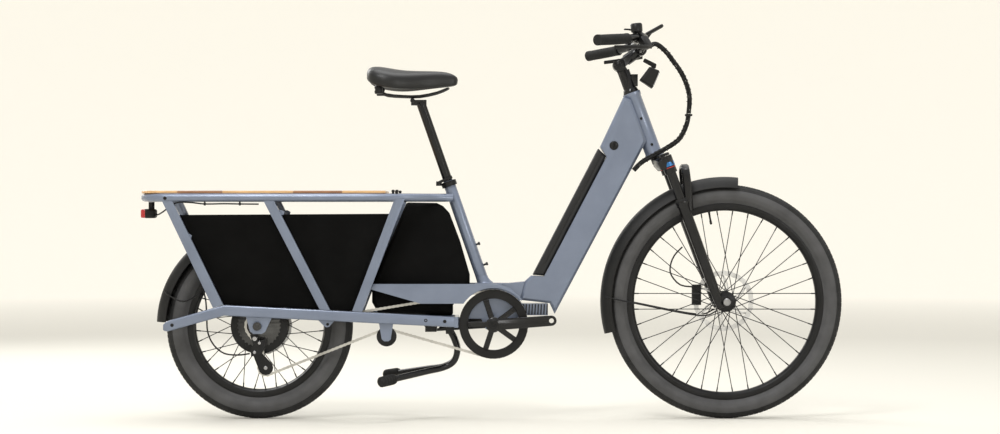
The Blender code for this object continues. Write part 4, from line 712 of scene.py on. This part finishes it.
def chain_path():
    """The chain's pitch line, closely stepped."""
    wheels = [(BB.x, BB.z, 0.097, -1), (IDLER.x, IDLER.z, 0.0215, 1),
              (JOCKEY_LOWER.x, JOCKEY_LOWER.z, 0.0215, -1), (JOCKEY_UPPER.x, JOCKEY_UPPER.z, 0.0175, 1),
              (REAR_AXLE.x, REAR_AXLE.z, 0.037, -1), (CHAIN_GUIDE.x, CHAIN_GUIDE.z + 0.012, 0.012, 1)]
    count = len(wheels)
    touches = [tangent_points(wheels[i], wheels[(i + 1) % count]) for i in range(count)]
    points = []
    for index, (x, z, radius, turn) in enumerate(wheels):
        arrive = touches[index - 1][1]
        leave = touches[index][0]
        start = atan2(arrive[1] - z, arrive[0] - x)
        end = atan2(leave[1] - z, leave[0] - x)
        sweep = (end - start) * turn % (TURN) * turn
        steps = max(2, round(abs(degrees(sweep)) / 4.0))
        points += [Vector((x + radius * cos(start + sweep * k / steps), 0.0,
                           z + radius * sin(start + sweep * k / steps))) for k in range(steps + 1)]
    return points


def even_points(points, pitch):
    """An even number of equal steps round a closed path, nearest to the pitch."""
    loop = points + [points[0]]
    lengths = [0.0]
    for first, second in zip(loop, loop[1:]):
        lengths.append(lengths[-1] + (second - first).length)
    count = 2 * round(lengths[-1] / pitch / 2)
    result = []
    segment = 0
    for index in range(count):
        target = lengths[-1] * index / count
        while lengths[segment + 1] < target:
            segment += 1
        share = (target - lengths[segment]) / (lengths[segment + 1] - lengths[segment])
        result.append(loop[segment].lerp(loop[segment + 1], share))
    return result


def add_link_plate(bm, first, second, y, half, radius, waist):
    along = (second - first).normalized()
    up = Vector((-along.z, 0.0, along.x))
    length = (second - first).length
    outline = []
    for step in range(7):
        angle = radians(-90.0 + 180.0 * step / 6)
        outline.append((length + radius * cos(angle), radius * sin(angle)))
    outline.append((length / 2, waist))
    for step in range(7):
        angle = radians(90.0 + 180.0 * step / 6)
        outline.append((radius * cos(angle), radius * sin(angle)))
    outline.append((length / 2, -waist))
    add_loft(bm, [[first + along * a + up * b + Vector((0, y + d, 0)) for a, b in outline]
                  for d in (-half, half)])


def make_chain():
    pins = even_points(chain_path(), CHAIN_PITCH)
    bm = bmesh.new()
    for index, pin in enumerate(pins):
        following = pins[(index + 1) % len(pins)]
        gap = 0.0029 if index % 2 else 0.002
        for side in (-1, 1):
            add_link_plate(bm, pin, following, CHAIN_Y + side * gap, 0.0004, 0.0041, 0.003)
        add_disc(bm, mm([(3.6, -1.6), (3.6, 1.6)]), pin + Vector((0, CHAIN_Y, 0)), (0, 1, 0), 10)
        add_disc(bm, mm([(1.7, -3.4), (1.7, 3.4)]), pin + Vector((0, CHAIN_Y, 0)), (0, 1, 0), 8)
    link_mesh("chain_links", bm, "chain", "frame", sharp=30.0, replaced="chain")


def make_chainring():
    bm = bmesh.new()
    add_sprocket(bm, BB + Vector((0, CHAIN_Y - 0.002, 0)), 0.094, 48, 0.004, 0.075, 0.001)
    add_ring(bm, mm([(74.5, 1), (87.5, 1), (88.5, 4.5), (99, 5), (100, 6), (100, 7.6), (99.2, 8.5),
                     (79, 8.5), (75.2, 7.8), (74.5, 6.2)]),
             BB + Vector((0, CHAIN_Y - 0.0018, 0)), (0, -1, 0), 128)
    link_mesh("chainring_finish", bm, "black_metal", "cranks", replaced="chainring")
    bm = bmesh.new()
    for index in range(5):
        angle = radians(36.0 + 72.0 * index)
        place = BB + around(0.07, angle, -0.0668)
        add_bolt(bm, place, (0, -1, 0), 0.0048, 0.0016)
    link_mesh("chainring_bolts", bm, "black_metal", "cranks")


def make_cassette():
    bm = bmesh.new()
    gears = [(0.064, 32), (0.056, 28), (0.049, 24), (0.044, 21), (0.039, 18), (0.035, 16), (0.031, 14),
             (0.0275, 12)]
    for index, (radius, teeth) in enumerate(gears):
        y = -0.0302 - index * 0.0031
        bore = max(0.016, radius - 0.017)
        add_sprocket(bm, REAR_AXLE + Vector((0, y, 0)), radius, teeth, 0.004, bore, 0.0009)
    add_ring(bm, mm([(15, 29.2), (21, 29.2), (21, 56), (19, 60), (15, 60.5)]),
             REAR_AXLE, (0, -1, 0), 48)
    link_mesh("cassette_gears", bm, "dark_steel", "cassette", sharp=30.0, replaced="cassette")


def make_rollers():
    """Idler with its two cheek discs, and the two jockey wheels, all toothed."""
    for name, centre, radius, teeth, cheek in (("chain_idler", IDLER, 0.0205, 12, 0.029),
                                               ("jockey_upper", JOCKEY_UPPER, 0.0126, 10, 0.0),
                                               ("jockey_lower", JOCKEY_LOWER, 0.0166, 12, 0.0)):
        bm = bmesh.new()
        add_sprocket(bm, centre, radius, teeth, 0.0032, 0.004, 0.0011)
        profile = [(0.0038, 0.004), (radius * 0.55, 0.004), (radius * 0.62, 0.003)]
        profile = [(r, -y) for r, y in profile] + profile[::-1]
        add_ring(bm, profile, centre, (0, 1, 0), 32)
        if cheek:
            for side in (-1, 1):
                low, high = sorted((side * 0.0038, side * 0.0049))
                rim = cheek - 0.0008
                profile = [(0.0038, low), (rim, low), (cheek, (low + high) / 2), (rim, high),
                           (0.0038, high)]
                add_ring(bm, profile, centre, (0, 1, 0), 48)
        material = "black_metal" if cheek else "black_plastic"
        link_mesh(name + "_finish", bm, material, name, replaced=name)


def make_cranks():
    soften("crank_right", "gloss_black", 0.0022, 3)
    soften("crank_left", "gloss_black", 0.0022, 3)
    bm = bmesh.new()
    add_disc(bm, mm([(15, 0), (15, 1.2), (14, 2.2), (6, 2.6), (4.8, 1)]),
             BB + Vector((0, -0.0968, 0)), (0, -1, 0), 32)
    link_mesh("crank_cap", bm, "black_metal", "cranks")


def make_derailleur():
    soften("derailleur", "black_metal", 0.001)
    bm = bmesh.new()
    for place, radius in (((-0.6855, -0.07, 0.2355), 0.0062), ((-0.672, -0.069, 0.223), 0.0042),
                          ((-0.686, -0.069, 0.196), 0.0042), ((-0.68, -0.0562, 0.19), 0.0036),
                          ((-0.655, -0.0562, 0.15), 0.0052)):
        add_bolt(bm, place, (0, -1, 0), radius, 0.0018)
    add_sweep(bm, smooth_path(mm([(-662, -64, 226), (-668, -66, 210), (-681, -65, 198)])),
              rounded(0.003, 0.009, 0.001, 1), (0, 1, 0))
    link_mesh("derailleur_trim", bm, "silver", "frame")


# ---- frame and rack

def make_frame():
    for node, width in (("front_frame", 0.008), ("bottom_bracket_yoke", 0.0016), ("seat_tube", 0.0012),
                        ("chainstay_right", 0.0018), ("chainstay_left", 0.0018), ("rack_frame", 0.0016)):
        soften(node, "paint", width, 3)
    soften("seat_clamp_collar", "black_metal", 0.001)
    soften("seat_clamp_lever", "black_metal", 0.0012)
    soften("kickstand_bracket", "black_metal", 0.0012)
    soften("rear_caliper", "black_metal", 0.002)
    make_frame_bolts()
    make_seat_tube_trim()
    make_tabs()
    make_cooling_fins()
    make_lamp_wire()
    make_rear_guards()
    make_deck()


def make_frame_bolts():
    bm = bmesh.new()
    for side in (-1, 1):
        for x, z in ((0.436, 0.875), (0.467, 0.7995)):
            add_bolt(bm, (x, side * 0.0246, z), (0, side, 0), 0.004, 0.002)
        for x, z in ((-0.9215, 0.276), (-0.19, 0.289), (-0.135, 0.2862)):
            spacing = 0.094 if x < -0.5 else 0.0794
            add_bolt(bm, (x, side * spacing, z), (0, side, 0), 0.005, 0.0016)
        add_bolt(bm, (-0.938, side * 0.1205, 0.642), (0, side, 0), 0.0052, 0.002)
    link_mesh("frame_bolts", bm, "black_metal", "frame")


def make_seat_tube_trim():
    """The flare that joins the seat tube to the yoke, and the two bottle cage bolts."""
    foot = mm([(-30, 0, 415), (-25.5, 0, 403), (-21.5, 0, 394.5), (-19, 0, 388)])
    tube_piece("seat_tube_foot", foot, 0.0172, "paint", "frame", 32, [1.0, 1.06, 1.22, 1.5])
    bm = bmesh.new()
    for x, z in ((-0.0357, 0.511), (-0.0126, 0.452)):
        out = Vector((0.935, 0.0, 0.355))
        add_disc(bm, mm([(3, -4), (3, 4), (5, 4.5), (5, 8.5), (3.8, 10)]),
                 Vector((x, 0.0, z)) - out * 0.008, out, 20)
    link_mesh("bottle_bolts", bm, "black_metal", "frame")


def make_tabs():
    """Welded tabs on the stays and struts, their bolts, and the knobs on the rail."""
    bm = bmesh.new()
    for side in (-1, 1):
        low, high = sorted((side * 0.07, side * 0.074))
        outline = mm([(-502, 290), (-454, 288), (-462, 279), (-470, 270), (-478, 269), (-486, 274)])
        add_plate(bm, outline, low, high)
        for x, z in ((-0.872, 0.532), (-0.605, 0.6)):
            low, high = sorted((side * 0.0985, side * 0.102))
            outline = [(x - 0.012, z - 0.006), (x + 0.006, z - 0.006), (x + 0.009, z + 0.003),
                       (x, z + 0.008), (x - 0.012, z + 0.008)]
            add_plate(bm, outline, low, high)
    link_mesh("frame_tabs", bm, "paint", "frame")
    bm = bmesh.new()
    for side in (-1, 1):
        add_bolt(bm, (-0.474, side * 0.074, 0.2775), (0, side, 0), 0.0042, 0.002)
        for x in (-0.283, -0.272):
            add_disc(bm, mm([(3.6, 0), (3.6, 4), (4.6, 5), (4.6, 9.5), (3.4, 11)]),
                     (x, side * 0.11, RAIL_Z + 0.0112), (0, 0, 1), 20)
    link_mesh("rack_knobs", bm, "black_metal", "frame")


def make_cooling_fins():
    bm = bmesh.new()
    for side in (-1, 1):
        for index in range(9):
            x = 0.0895 + index * 0.0087
            low, high = sorted((side * 0.0325, side * 0.0352))
            outline = [(x, 0.3045), (x + 0.0035, 0.3045), (x + 0.005, 0.3345), (x + 0.0015, 0.3345)]
            add_plate(bm, outline, low, high)
    link_mesh("cooling_fins", bm, "black_metal", "frame")


def make_lamp_wire():
    """The tail light's wire and the two clips that hold it under the rail."""
    wire = smooth_path(mm([(-979, -10, 596), (-970, -30, 595), (-948, -80, 604), (-910, -106, 628),
                           (-870, -110, 630), (-825, -110, 625.5), (-770, -110, 626.2),
                           (-724, -110, 625.5), (-670, -108, 625)]))
    tube_piece("lamp_wire", wire, 0.0022, "black_plastic", "frame", 10)
    bm = bmesh.new()
    for x in (-0.825, -0.724):
        add_ring(bm, mm([(2.4, -3), (4, -3), (4, 3), (2.4, 3)]),
                 Vector((x, -0.11, 0.6255)), (1, 0, 0), 20)
        add_sweep(bm, [(x, -0.11, 0.633), (x, -0.11, 0.621)], rounded(0.005, 0.003, 0.0008, 1))
    link_mesh("wire_clips", bm, "black_plastic", "frame")


def make_rear_guards():
    soften("centre_compartment", "panel", 0.006, 4)
    soften("side_panel_right", "panel")
    soften("side_panel_left", "panel")


def make_deck():
    """Five boards with rounded edges; the tail board has round corners."""
    low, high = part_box("deck_board")
    ends = (high.x,) + DECK_SEAMS + (low.x,)
    edge = 0.0018
    for index in range(5):
        front = ends[index] - (0.0004 if index else 0.0)
        back = ends[index + 1] + (0.0004 if index < 4 else 0.0)
        half = high.y
        outline = [(front, -half), (front, half), (back, half), (back, -half)]
        if index == 4:
            corner = 0.06
            outline = [(front, -half), (front, half)]
            for step in range(13):
                angle = radians(90.0 + 90.0 * step / 12)
                outline.append((back + corner + corner * cos(angle), half - corner + corner * sin(angle)))
            for step in range(13):
                angle = radians(180.0 + 90.0 * step / 12)
                outline.append((back + corner + corner * cos(angle), corner - half + corner * sin(angle)))
        middle = Vector(((front + back) / 2, 0.0, 0.0))
        rings = []
        for z, inset in ((low.z, edge * 0.6), (low.z + edge * 0.5, 0.0), (high.z - edge, 0.0),
                         (high.z - edge * 0.3, edge * 0.35), (high.z, edge)):
            ring = []
            for x, y in outline:
                shift_x = -inset if x > middle.x else inset
                shift_y = -inset if y > 0 else inset
                ring.append(Vector((x + shift_x, y + shift_y, z)))
            rings.append(ring)
        bm = bmesh.new()
        add_loft(bm, rings)
        board = link_mesh(f"deck_board_{index + 1}", bm, "dark_wood" if index % 2 else "light_wood",
                          "frame")
        if index == 0:
            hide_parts("deck_board")


def fender_profile(radius, half_width, drop):
    """A curved shell with a rolled edge."""
    thickness = 0.0018
    outer = []
    for step in range(17):
        share = -1.0 + step / 8.0
        outer.append((radius - drop * abs(share) ** 2.6, half_width * share))
    inner = [(r - thickness, y * (1.0 - thickness / half_width)) for r, y in reversed(outer)]
    return outer + inner


def make_fenders():
    bm = bmesh.new()
    add_ring(bm, fender_profile(0.301, 0.042, 0.03), REAR_AXLE, (0, -1, 0), 72, 18.0, 160.0)
    link_mesh("rear_fender_shell", bm, "black_plastic", "frame", replaced="rear_fender")
    for side in (-1, 1):
        steps = mm([(-950, 35, 374), (-938, 48, 362), (-893, 56, 342.7), (-846.6, 58, 366)], side)
        name = "rear_stay_left" if side > 0 else "rear_stay_right"
        tube_piece(name, smooth_path(steps), 0.0022, "black_metal", "frame", 12)
    bm = bmesh.new()
    add_ring(bm, fender_profile(0.364, 0.039, 0.031), FRONT_AXLE, (0, -1, 0), 60, 84.0, 111.0)
    link_mesh("front_fender_shell", bm, "black_plastic", "fork_lowers", replaced="front_fender")
    for side in (-1, 1):
        steps = mm([(-351, 33.5, 14), (-260, 46, -5), (-80, 53.5, -39), (-25, 51.5, -25)], side)
        path = [FRONT_AXLE + Vector(step) for step in steps]
        name = "front_stay_left" if side > 0 else "front_stay_right"
        tube_piece(name, smooth_path(path, 6), 0.0022, "black_metal", "fork_lowers", 12)


def make_tail_light():
    section = rounded(0.05, 0.027, 0.006)

    def add_shell(bm, stations):
        add_loft(bm, [[Vector((x, a * scale, 0.598 + b * scale)) for a, b in section]
                      for x, scale in stations])

    bm = bmesh.new()
    add_shell(bm, ((-0.98, 0.7), (-0.983, 0.92), (-0.988, 1.0), (-1.008, 1.0), (-1.0095, 0.97)))
    add_sweep(bm, mm([(-994, 0, 608), (-994, 0, 631.8)]), rounded(0.012, 0.016, 0.003))
    link_mesh("tail_light_housing", bm, "black_plastic", "frame")
    bm = bmesh.new()
    add_shell(bm, ((-1.0098, 0.96), (-1.018, 0.96), (-1.0215, 0.9), (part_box("tail_light")[0].x, 0.78)))
    link_mesh("tail_light_lens", bm, "red_lens", "frame", replaced="tail_light")


# ---- battery, seat and stand

def make_battery():
    soften("battery_pack", "battery", 0.0022, 3)
    soften("battery_lock", "black_metal", 0.0008)
    bm = bmesh.new()
    slope = Vector((0.3334 - 0.153, 0.0, 0.764 - 0.4168)).normalized()
    for side in (-1, 1):
        start = Vector((0.151, side * 0.0362, 0.419))
        lift = Vector((-0.0105, 0, 0.0055))
        points = [start + slope * (0.03 + 0.36 * step / 12) + lift for step in range(13)]
        add_sweep(bm, points, rounded(0.0016, 0.0014, 0.0005, 1), (0, side, 0))
    link_mesh("battery_ribs", bm, "black_plastic", "battery")


def make_saddle():
    """Padded cover: crowned over the sit bones, dished along the middle, with a seam round the skirt."""
    stations = mm([(-364, 50, 1014, 993, 990), (-356, 72, 1025, 984, 978), (-340, 90, 1029, 976, 969),
                   (-310, 98, 1026, 972, 962), (-280, 95, 1020, 970, 958),
                   (-250, 82, 1016.5, 969, 957), (-220, 64, 1016, 969, 959),
                   (-190, 47, 1016.5, 969, 962), (-160, 36.5, 1017, 969, 965),
                   (-130, 30.5, 1015, 969, 968), (-110, 26, 1008, 970, 970), (-98, 19, 998, 976, 976)])
    rings = []
    for x, half, top, bottom, skirt in stations:
        ring = []
        for step in range(25):
            angle = radians(180.0 * step / 24)
            across = cos(angle)
            height = sin(angle) ** 0.55
            dish = 0.0045 * exp(-(across * half / 0.014) ** 2)
            ring.append(Vector((x, half * across, skirt + 0.004 + (top - skirt - 0.004) * height - dish)))
        ring += [Vector((x, -half * 0.93, skirt)), Vector((x, -half * 0.86, skirt + 0.002)),
                 Vector((x, -half * 0.7, bottom + 0.004)), Vector((x, half * 0.7, bottom + 0.004)),
                 Vector((x, half * 0.86, skirt + 0.002)), Vector((x, half * 0.93, skirt))]
        rings.append(ring)
    bm = bmesh.new()
    add_loft(bm, rings)
    cover = link_mesh("saddle_cover", bm, "leather", "seat", sharp=70.0)
    smooth = cover.modifiers.new("padding", "SUBSURF")
    smooth.levels = 1
    smooth.render_levels = 1
    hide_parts("saddle_cushion")
    soften("saddle_rails", "black_metal", 0.0005)
    soften("seatpost", "gloss_black", 0.001)


def make_stand():
    bm = bmesh.new()
    for side in (-1, 1):
        path = smooth_path(mm([(-122, 20, 258), (-108, 24, 231), (-100, 28, 200), (-110, 30, 168),
                               (-140, 33, 150), (-190, 70, 140.5), (-308, 162, 118)], side), 8)
        add_sweep(bm, path, circle(0.0092, 24))
    add_disc(bm, mm([(8.5, -31.6), (8.5, 31.6)]), (-0.122, 0.0, 0.258), (0, 1, 0), 32)
    link_mesh("stand_legs", bm, "gloss_black", "kickstand", sharp=60.0, replaced="kickstand_legs")
    bm = bmesh.new()
    for side in (-1, 1):
        tip = Vector((-0.308, side * 0.162, 0.118))
        along = (tip - Vector((-0.19, side * 0.07, 0.1405))).normalized()
        profile = mm([(10, -42), (13, -40), (15.2, -34)])
        for ridge in range(4):
            at = -0.03 + ridge * 0.009
            profile += [(0.0155, at), (0.0155, at + 0.005), (0.0146, at + 0.006), (0.0146, at + 0.008)]
        profile += mm([(15.5, 7.5), (14.5, 11), (11.5, 13.8)])
        add_disc(bm, profile, tip, along, 32)
    link_mesh("stand_feet", bm, "rubber", "kickstand")


# ---- fork and cockpit

def on_leg(distance, side, forward=0.0):
    """A place on a fork leg's middle line, so far along the steering axis from the head tube's middle."""
    return (STEER_MIDDLE + STEER_UP * distance + STEER_FORWARD * (LEG_FORWARD + forward)
            + Vector((0, side, 0)))


def make_fork():
    soften("fork_crown", "gloss_black", 0.003, 3)
    soften("stem_quill", "gloss_black", 0.002, 3)
    soften("fork_lowers", "gloss_black", 0.0018, 3)
    soften("front_caliper", "black_metal", 0.0018)
    for name, material, low, high in (("crown_band", "blue_band", -0.1395, -0.1275),
                                      ("crown_line", "red_band", -0.1445, -0.1425)):
        bm = bmesh.new()
        for side in (-1, 1):
            add_ring(bm, [(0.0186, 0.0), (0.0191, 0.0), (0.0191, high - low), (0.0186, high - low)],
                     on_leg(low, side * LEG_HALF_SPACING), STEER_UP, 40)
        link_mesh(name, bm, material, "fork")
    bm = bmesh.new()
    for side in (-1, 1):
        top = on_leg(-0.1075, side * LEG_HALF_SPACING)
        add_disc(bm, mm([(14, 0), (14, 6), (12, 8), (6, 8.6)]), top, STEER_UP, 32)
    link_mesh("fork_caps", bm, "black_metal", "fork")
    bm = bmesh.new()
    for side in (-1, 1):
        seal = on_leg(-0.2475, side * LEG_HALF_SPACING)
        add_ring(bm, mm([(14.6, 0), (18, 0), (18, 4), (16.5, 6.5), (14.6, 7)]), seal,
                 STEER_UP, 40)
    link_mesh("fork_seals", bm, "rubber", "fork_lowers")
    bm = bmesh.new()
    for side in (-1, 1):
        centre = FRONT_AXLE + Vector((0, side * 0.072, 0))
        add_disc(bm, mm([(10.5, -4), (10.5, 3), (9, 4.5), (7.4, 4.5), (7.2, 3)]),
                 centre, (0, side, 0), 36)
    link_mesh("axle_caps", bm, "silver", "fork_lowers")


BAR_POINTS = mm([(435, 0, 1076), (435, -35, 1076), (440, -85, 1092), (437, -140, 1103),
                 (418, -190, 1100), (384, -238, 1092), (340, -286, 1086), (298, -332, 1081)])


def mirrored(points):
    return [Vector((p[0], -p[1], p[2])) for p in points]


def make_bar():
    half = smooth_path(BAR_POINTS, 6)
    path = list(reversed(half)) + mirrored(half)[1:]
    tube_piece("bar_tube", path, 0.0112, "gloss_black", "cockpit", 28, replaced="handlebar")
    for mirror, name in ((False, "grip_right"), (True, "grip_left")):
        path = smooth_path(smooth_path(BAR_POINTS, 2)[-5:], 16)
        if mirror:
            path = mirrored(path)
        end = path[-1] + (path[-1] - path[-2]).normalized() * 0.004
        path = path[:-1] + [end]
        scales = []
        for index in range(len(path)):
            share = index / (len(path) - 1)
            collar = share < 0.07 or share > 0.93
            ridge = 0.0 if collar else 0.035 * (index % 3 == 0)
            swell = 0.03 * sin(pi * share)
            scales.append(1.0 if collar else 0.93 + swell + ridge)
        bm = bmesh.new()
        add_sweep(bm, path, circle(0.0155, 32), scales=scales)
        link_mesh(name + "_sleeve", bm, "rubber", "cockpit", sharp=25.0, replaced=name)


def make_cockpit():
    make_bar()
    soften("stem_arm", "gloss_black", 0.0018, 3)
    for node in ("controls_right", "brake_perch_left", "brake_lever_right", "brake_lever_left",
                 "shift_trigger", "bell_lever"):
        soften(node, "black_metal", 0.0012, 3)
    soften("display", "black_plastic", 0.0014, 3)
    soften("headlight", "black_plastic", 0.003, 3)
    bm = bmesh.new()
    for side in (-1, 1):
        centre = Vector((0.372, side * 0.0222, 1.031))
        add_bolt(bm, centre, (0, side, 0), 0.0075, 0.003)
    link_mesh("stem_bolts", bm, "black_metal", "cockpit")
    make_screen()
    make_lamp_lens()


def make_screen():
    low = Vector((0.4505, 0.0, 1.12))
    high = Vector((0.4955, 0.0, 1.1449))
    normal = Vector((-0.48, 0.0, 0.87)).normalized()
    bm = bmesh.new()
    add_sweep(bm, [low + normal * 0.0046, high + normal * 0.0046], rounded(0.001, 0.054, 0.0004), normal)
    link_mesh("display_screen", bm, "screen", "cockpit")


def make_lamp_lens():
    """The round-cornered front glass of the headlight, facing forward and a little down."""
    top = Vector((0.4895, 0.0, 1.012))
    bottom = Vector((0.47, 0.0, 0.967))
    along = (bottom - top).normalized()
    out = Vector((-along.z, 0.0, along.x))
    bm = bmesh.new()
    add_sweep(bm, [top + out * 0.0008, bottom + out * 0.0008], rounded(0.0024, 0.038, 0.001), out)
    link_mesh("headlight_lens", bm, "clear_lens", "cockpit")


CABLE_UPPER = mm([(456, -56, 1083), (478, -56, 1089), (506, -54, 1068), (527, -52, 1040),
                  (550, -48, 1008), (565, -44, 978), (574, -40, 945), (575.5, -36, 915),
                  (573.5, -34, 889.5)])
CABLE_LOWER = mm([(573.3, -34, 888.5), (568, -34, 860), (556, -36, 830), (539, -40, 809),
                  (507, -42, 787), (470, -44, 767), (438, -45, 748), (413, -40, 724)])
CABLE_NORMAL = Vector((0.0, 1.0, 0.1))


def add_strands(bm, route, radius, offset, count, turns):
    """Hoses laid side by side along a route, twisting slowly round it."""
    points = smooth_path(route, 6)
    last = len(points) - 1
    for strand in range(count):
        path = []
        for index, point, normal, side in walk(points, CABLE_NORMAL):
            angle = TURN * (strand / count + turns * index / last)
            path.append(point + (normal * cos(angle) + side * sin(angle)) * offset)
        add_sweep(bm, path, circle(radius, 12))


def add_wrap(bm, route, radius, pitch, wire):
    """A spiral band wound along a route."""
    points = smooth_path(route, 24)
    travelled = 0.0
    path = []
    for index, point, normal, side in walk(points, CABLE_NORMAL):
        if index:
            travelled += (point - points[index - 1]).length
        angle = TURN * travelled / pitch
        path.append(point + (normal * cos(angle) + side * sin(angle)) * radius)
    add_sweep(bm, path, rounded(wire, wire * 2.6, wire * 0.3, 1), CABLE_NORMAL)


def make_cables():
    for name, route, first, second in (("cable_bundle_upper", CABLE_UPPER, "cockpit", "fork"),
                                       ("cable_bundle_lower", CABLE_LOWER, "fork", "frame")):
        bm = bmesh.new()
        add_strands(bm, route, 0.0025, 0.0048, 5, 0.6)
        hoses = link_mesh(name + "_hoses", bm, "black_plastic", None, sharp=60.0)
        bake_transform(hoses)
        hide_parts(name)
        bm = bmesh.new()
        add_wrap(bm, route[1:-1], 0.0076, 0.0135, 0.001)
        wrap = link_mesh(name + "_wrap", bm, "rubber", None, sharp=60.0)
        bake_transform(wrap)
    bm = bmesh.new()
    add_ring(bm, mm([(7, -3), (10.5, -3), (11.2, 0), (10.5, 3), (7, 3)]),
             Vector(CABLE_LOWER[0]) + Vector((0, 0, -0.004)), (0, 0, 1), 32)
    link_mesh("bundle_tie", bm, "rubber", "fork")
    loop = smooth_path(mm([(-838, -54, 385), (-829, -54.5, 345), (-826, -55, 300), (-823, -56, 255),
                           (-806, -58, 218), (-775, -60, 193), (-735, -60.5, 188),
                            (-700.5, -60.5, 192)]), 8)
    tube_piece("shift_housing", loop, 0.0023, "black_plastic", "frame", 12, replaced="shift_cable")


# ---- build

MATERIALS = make_materials()
make_stage()
make_wheels()
make_chain()
make_chainring()
make_cassette()
make_rollers()
make_cranks()
make_derailleur()
make_frame()
make_fenders()
make_tail_light()
make_battery()
make_saddle()
make_stand()
make_fork()
make_cockpit()
make_cables()
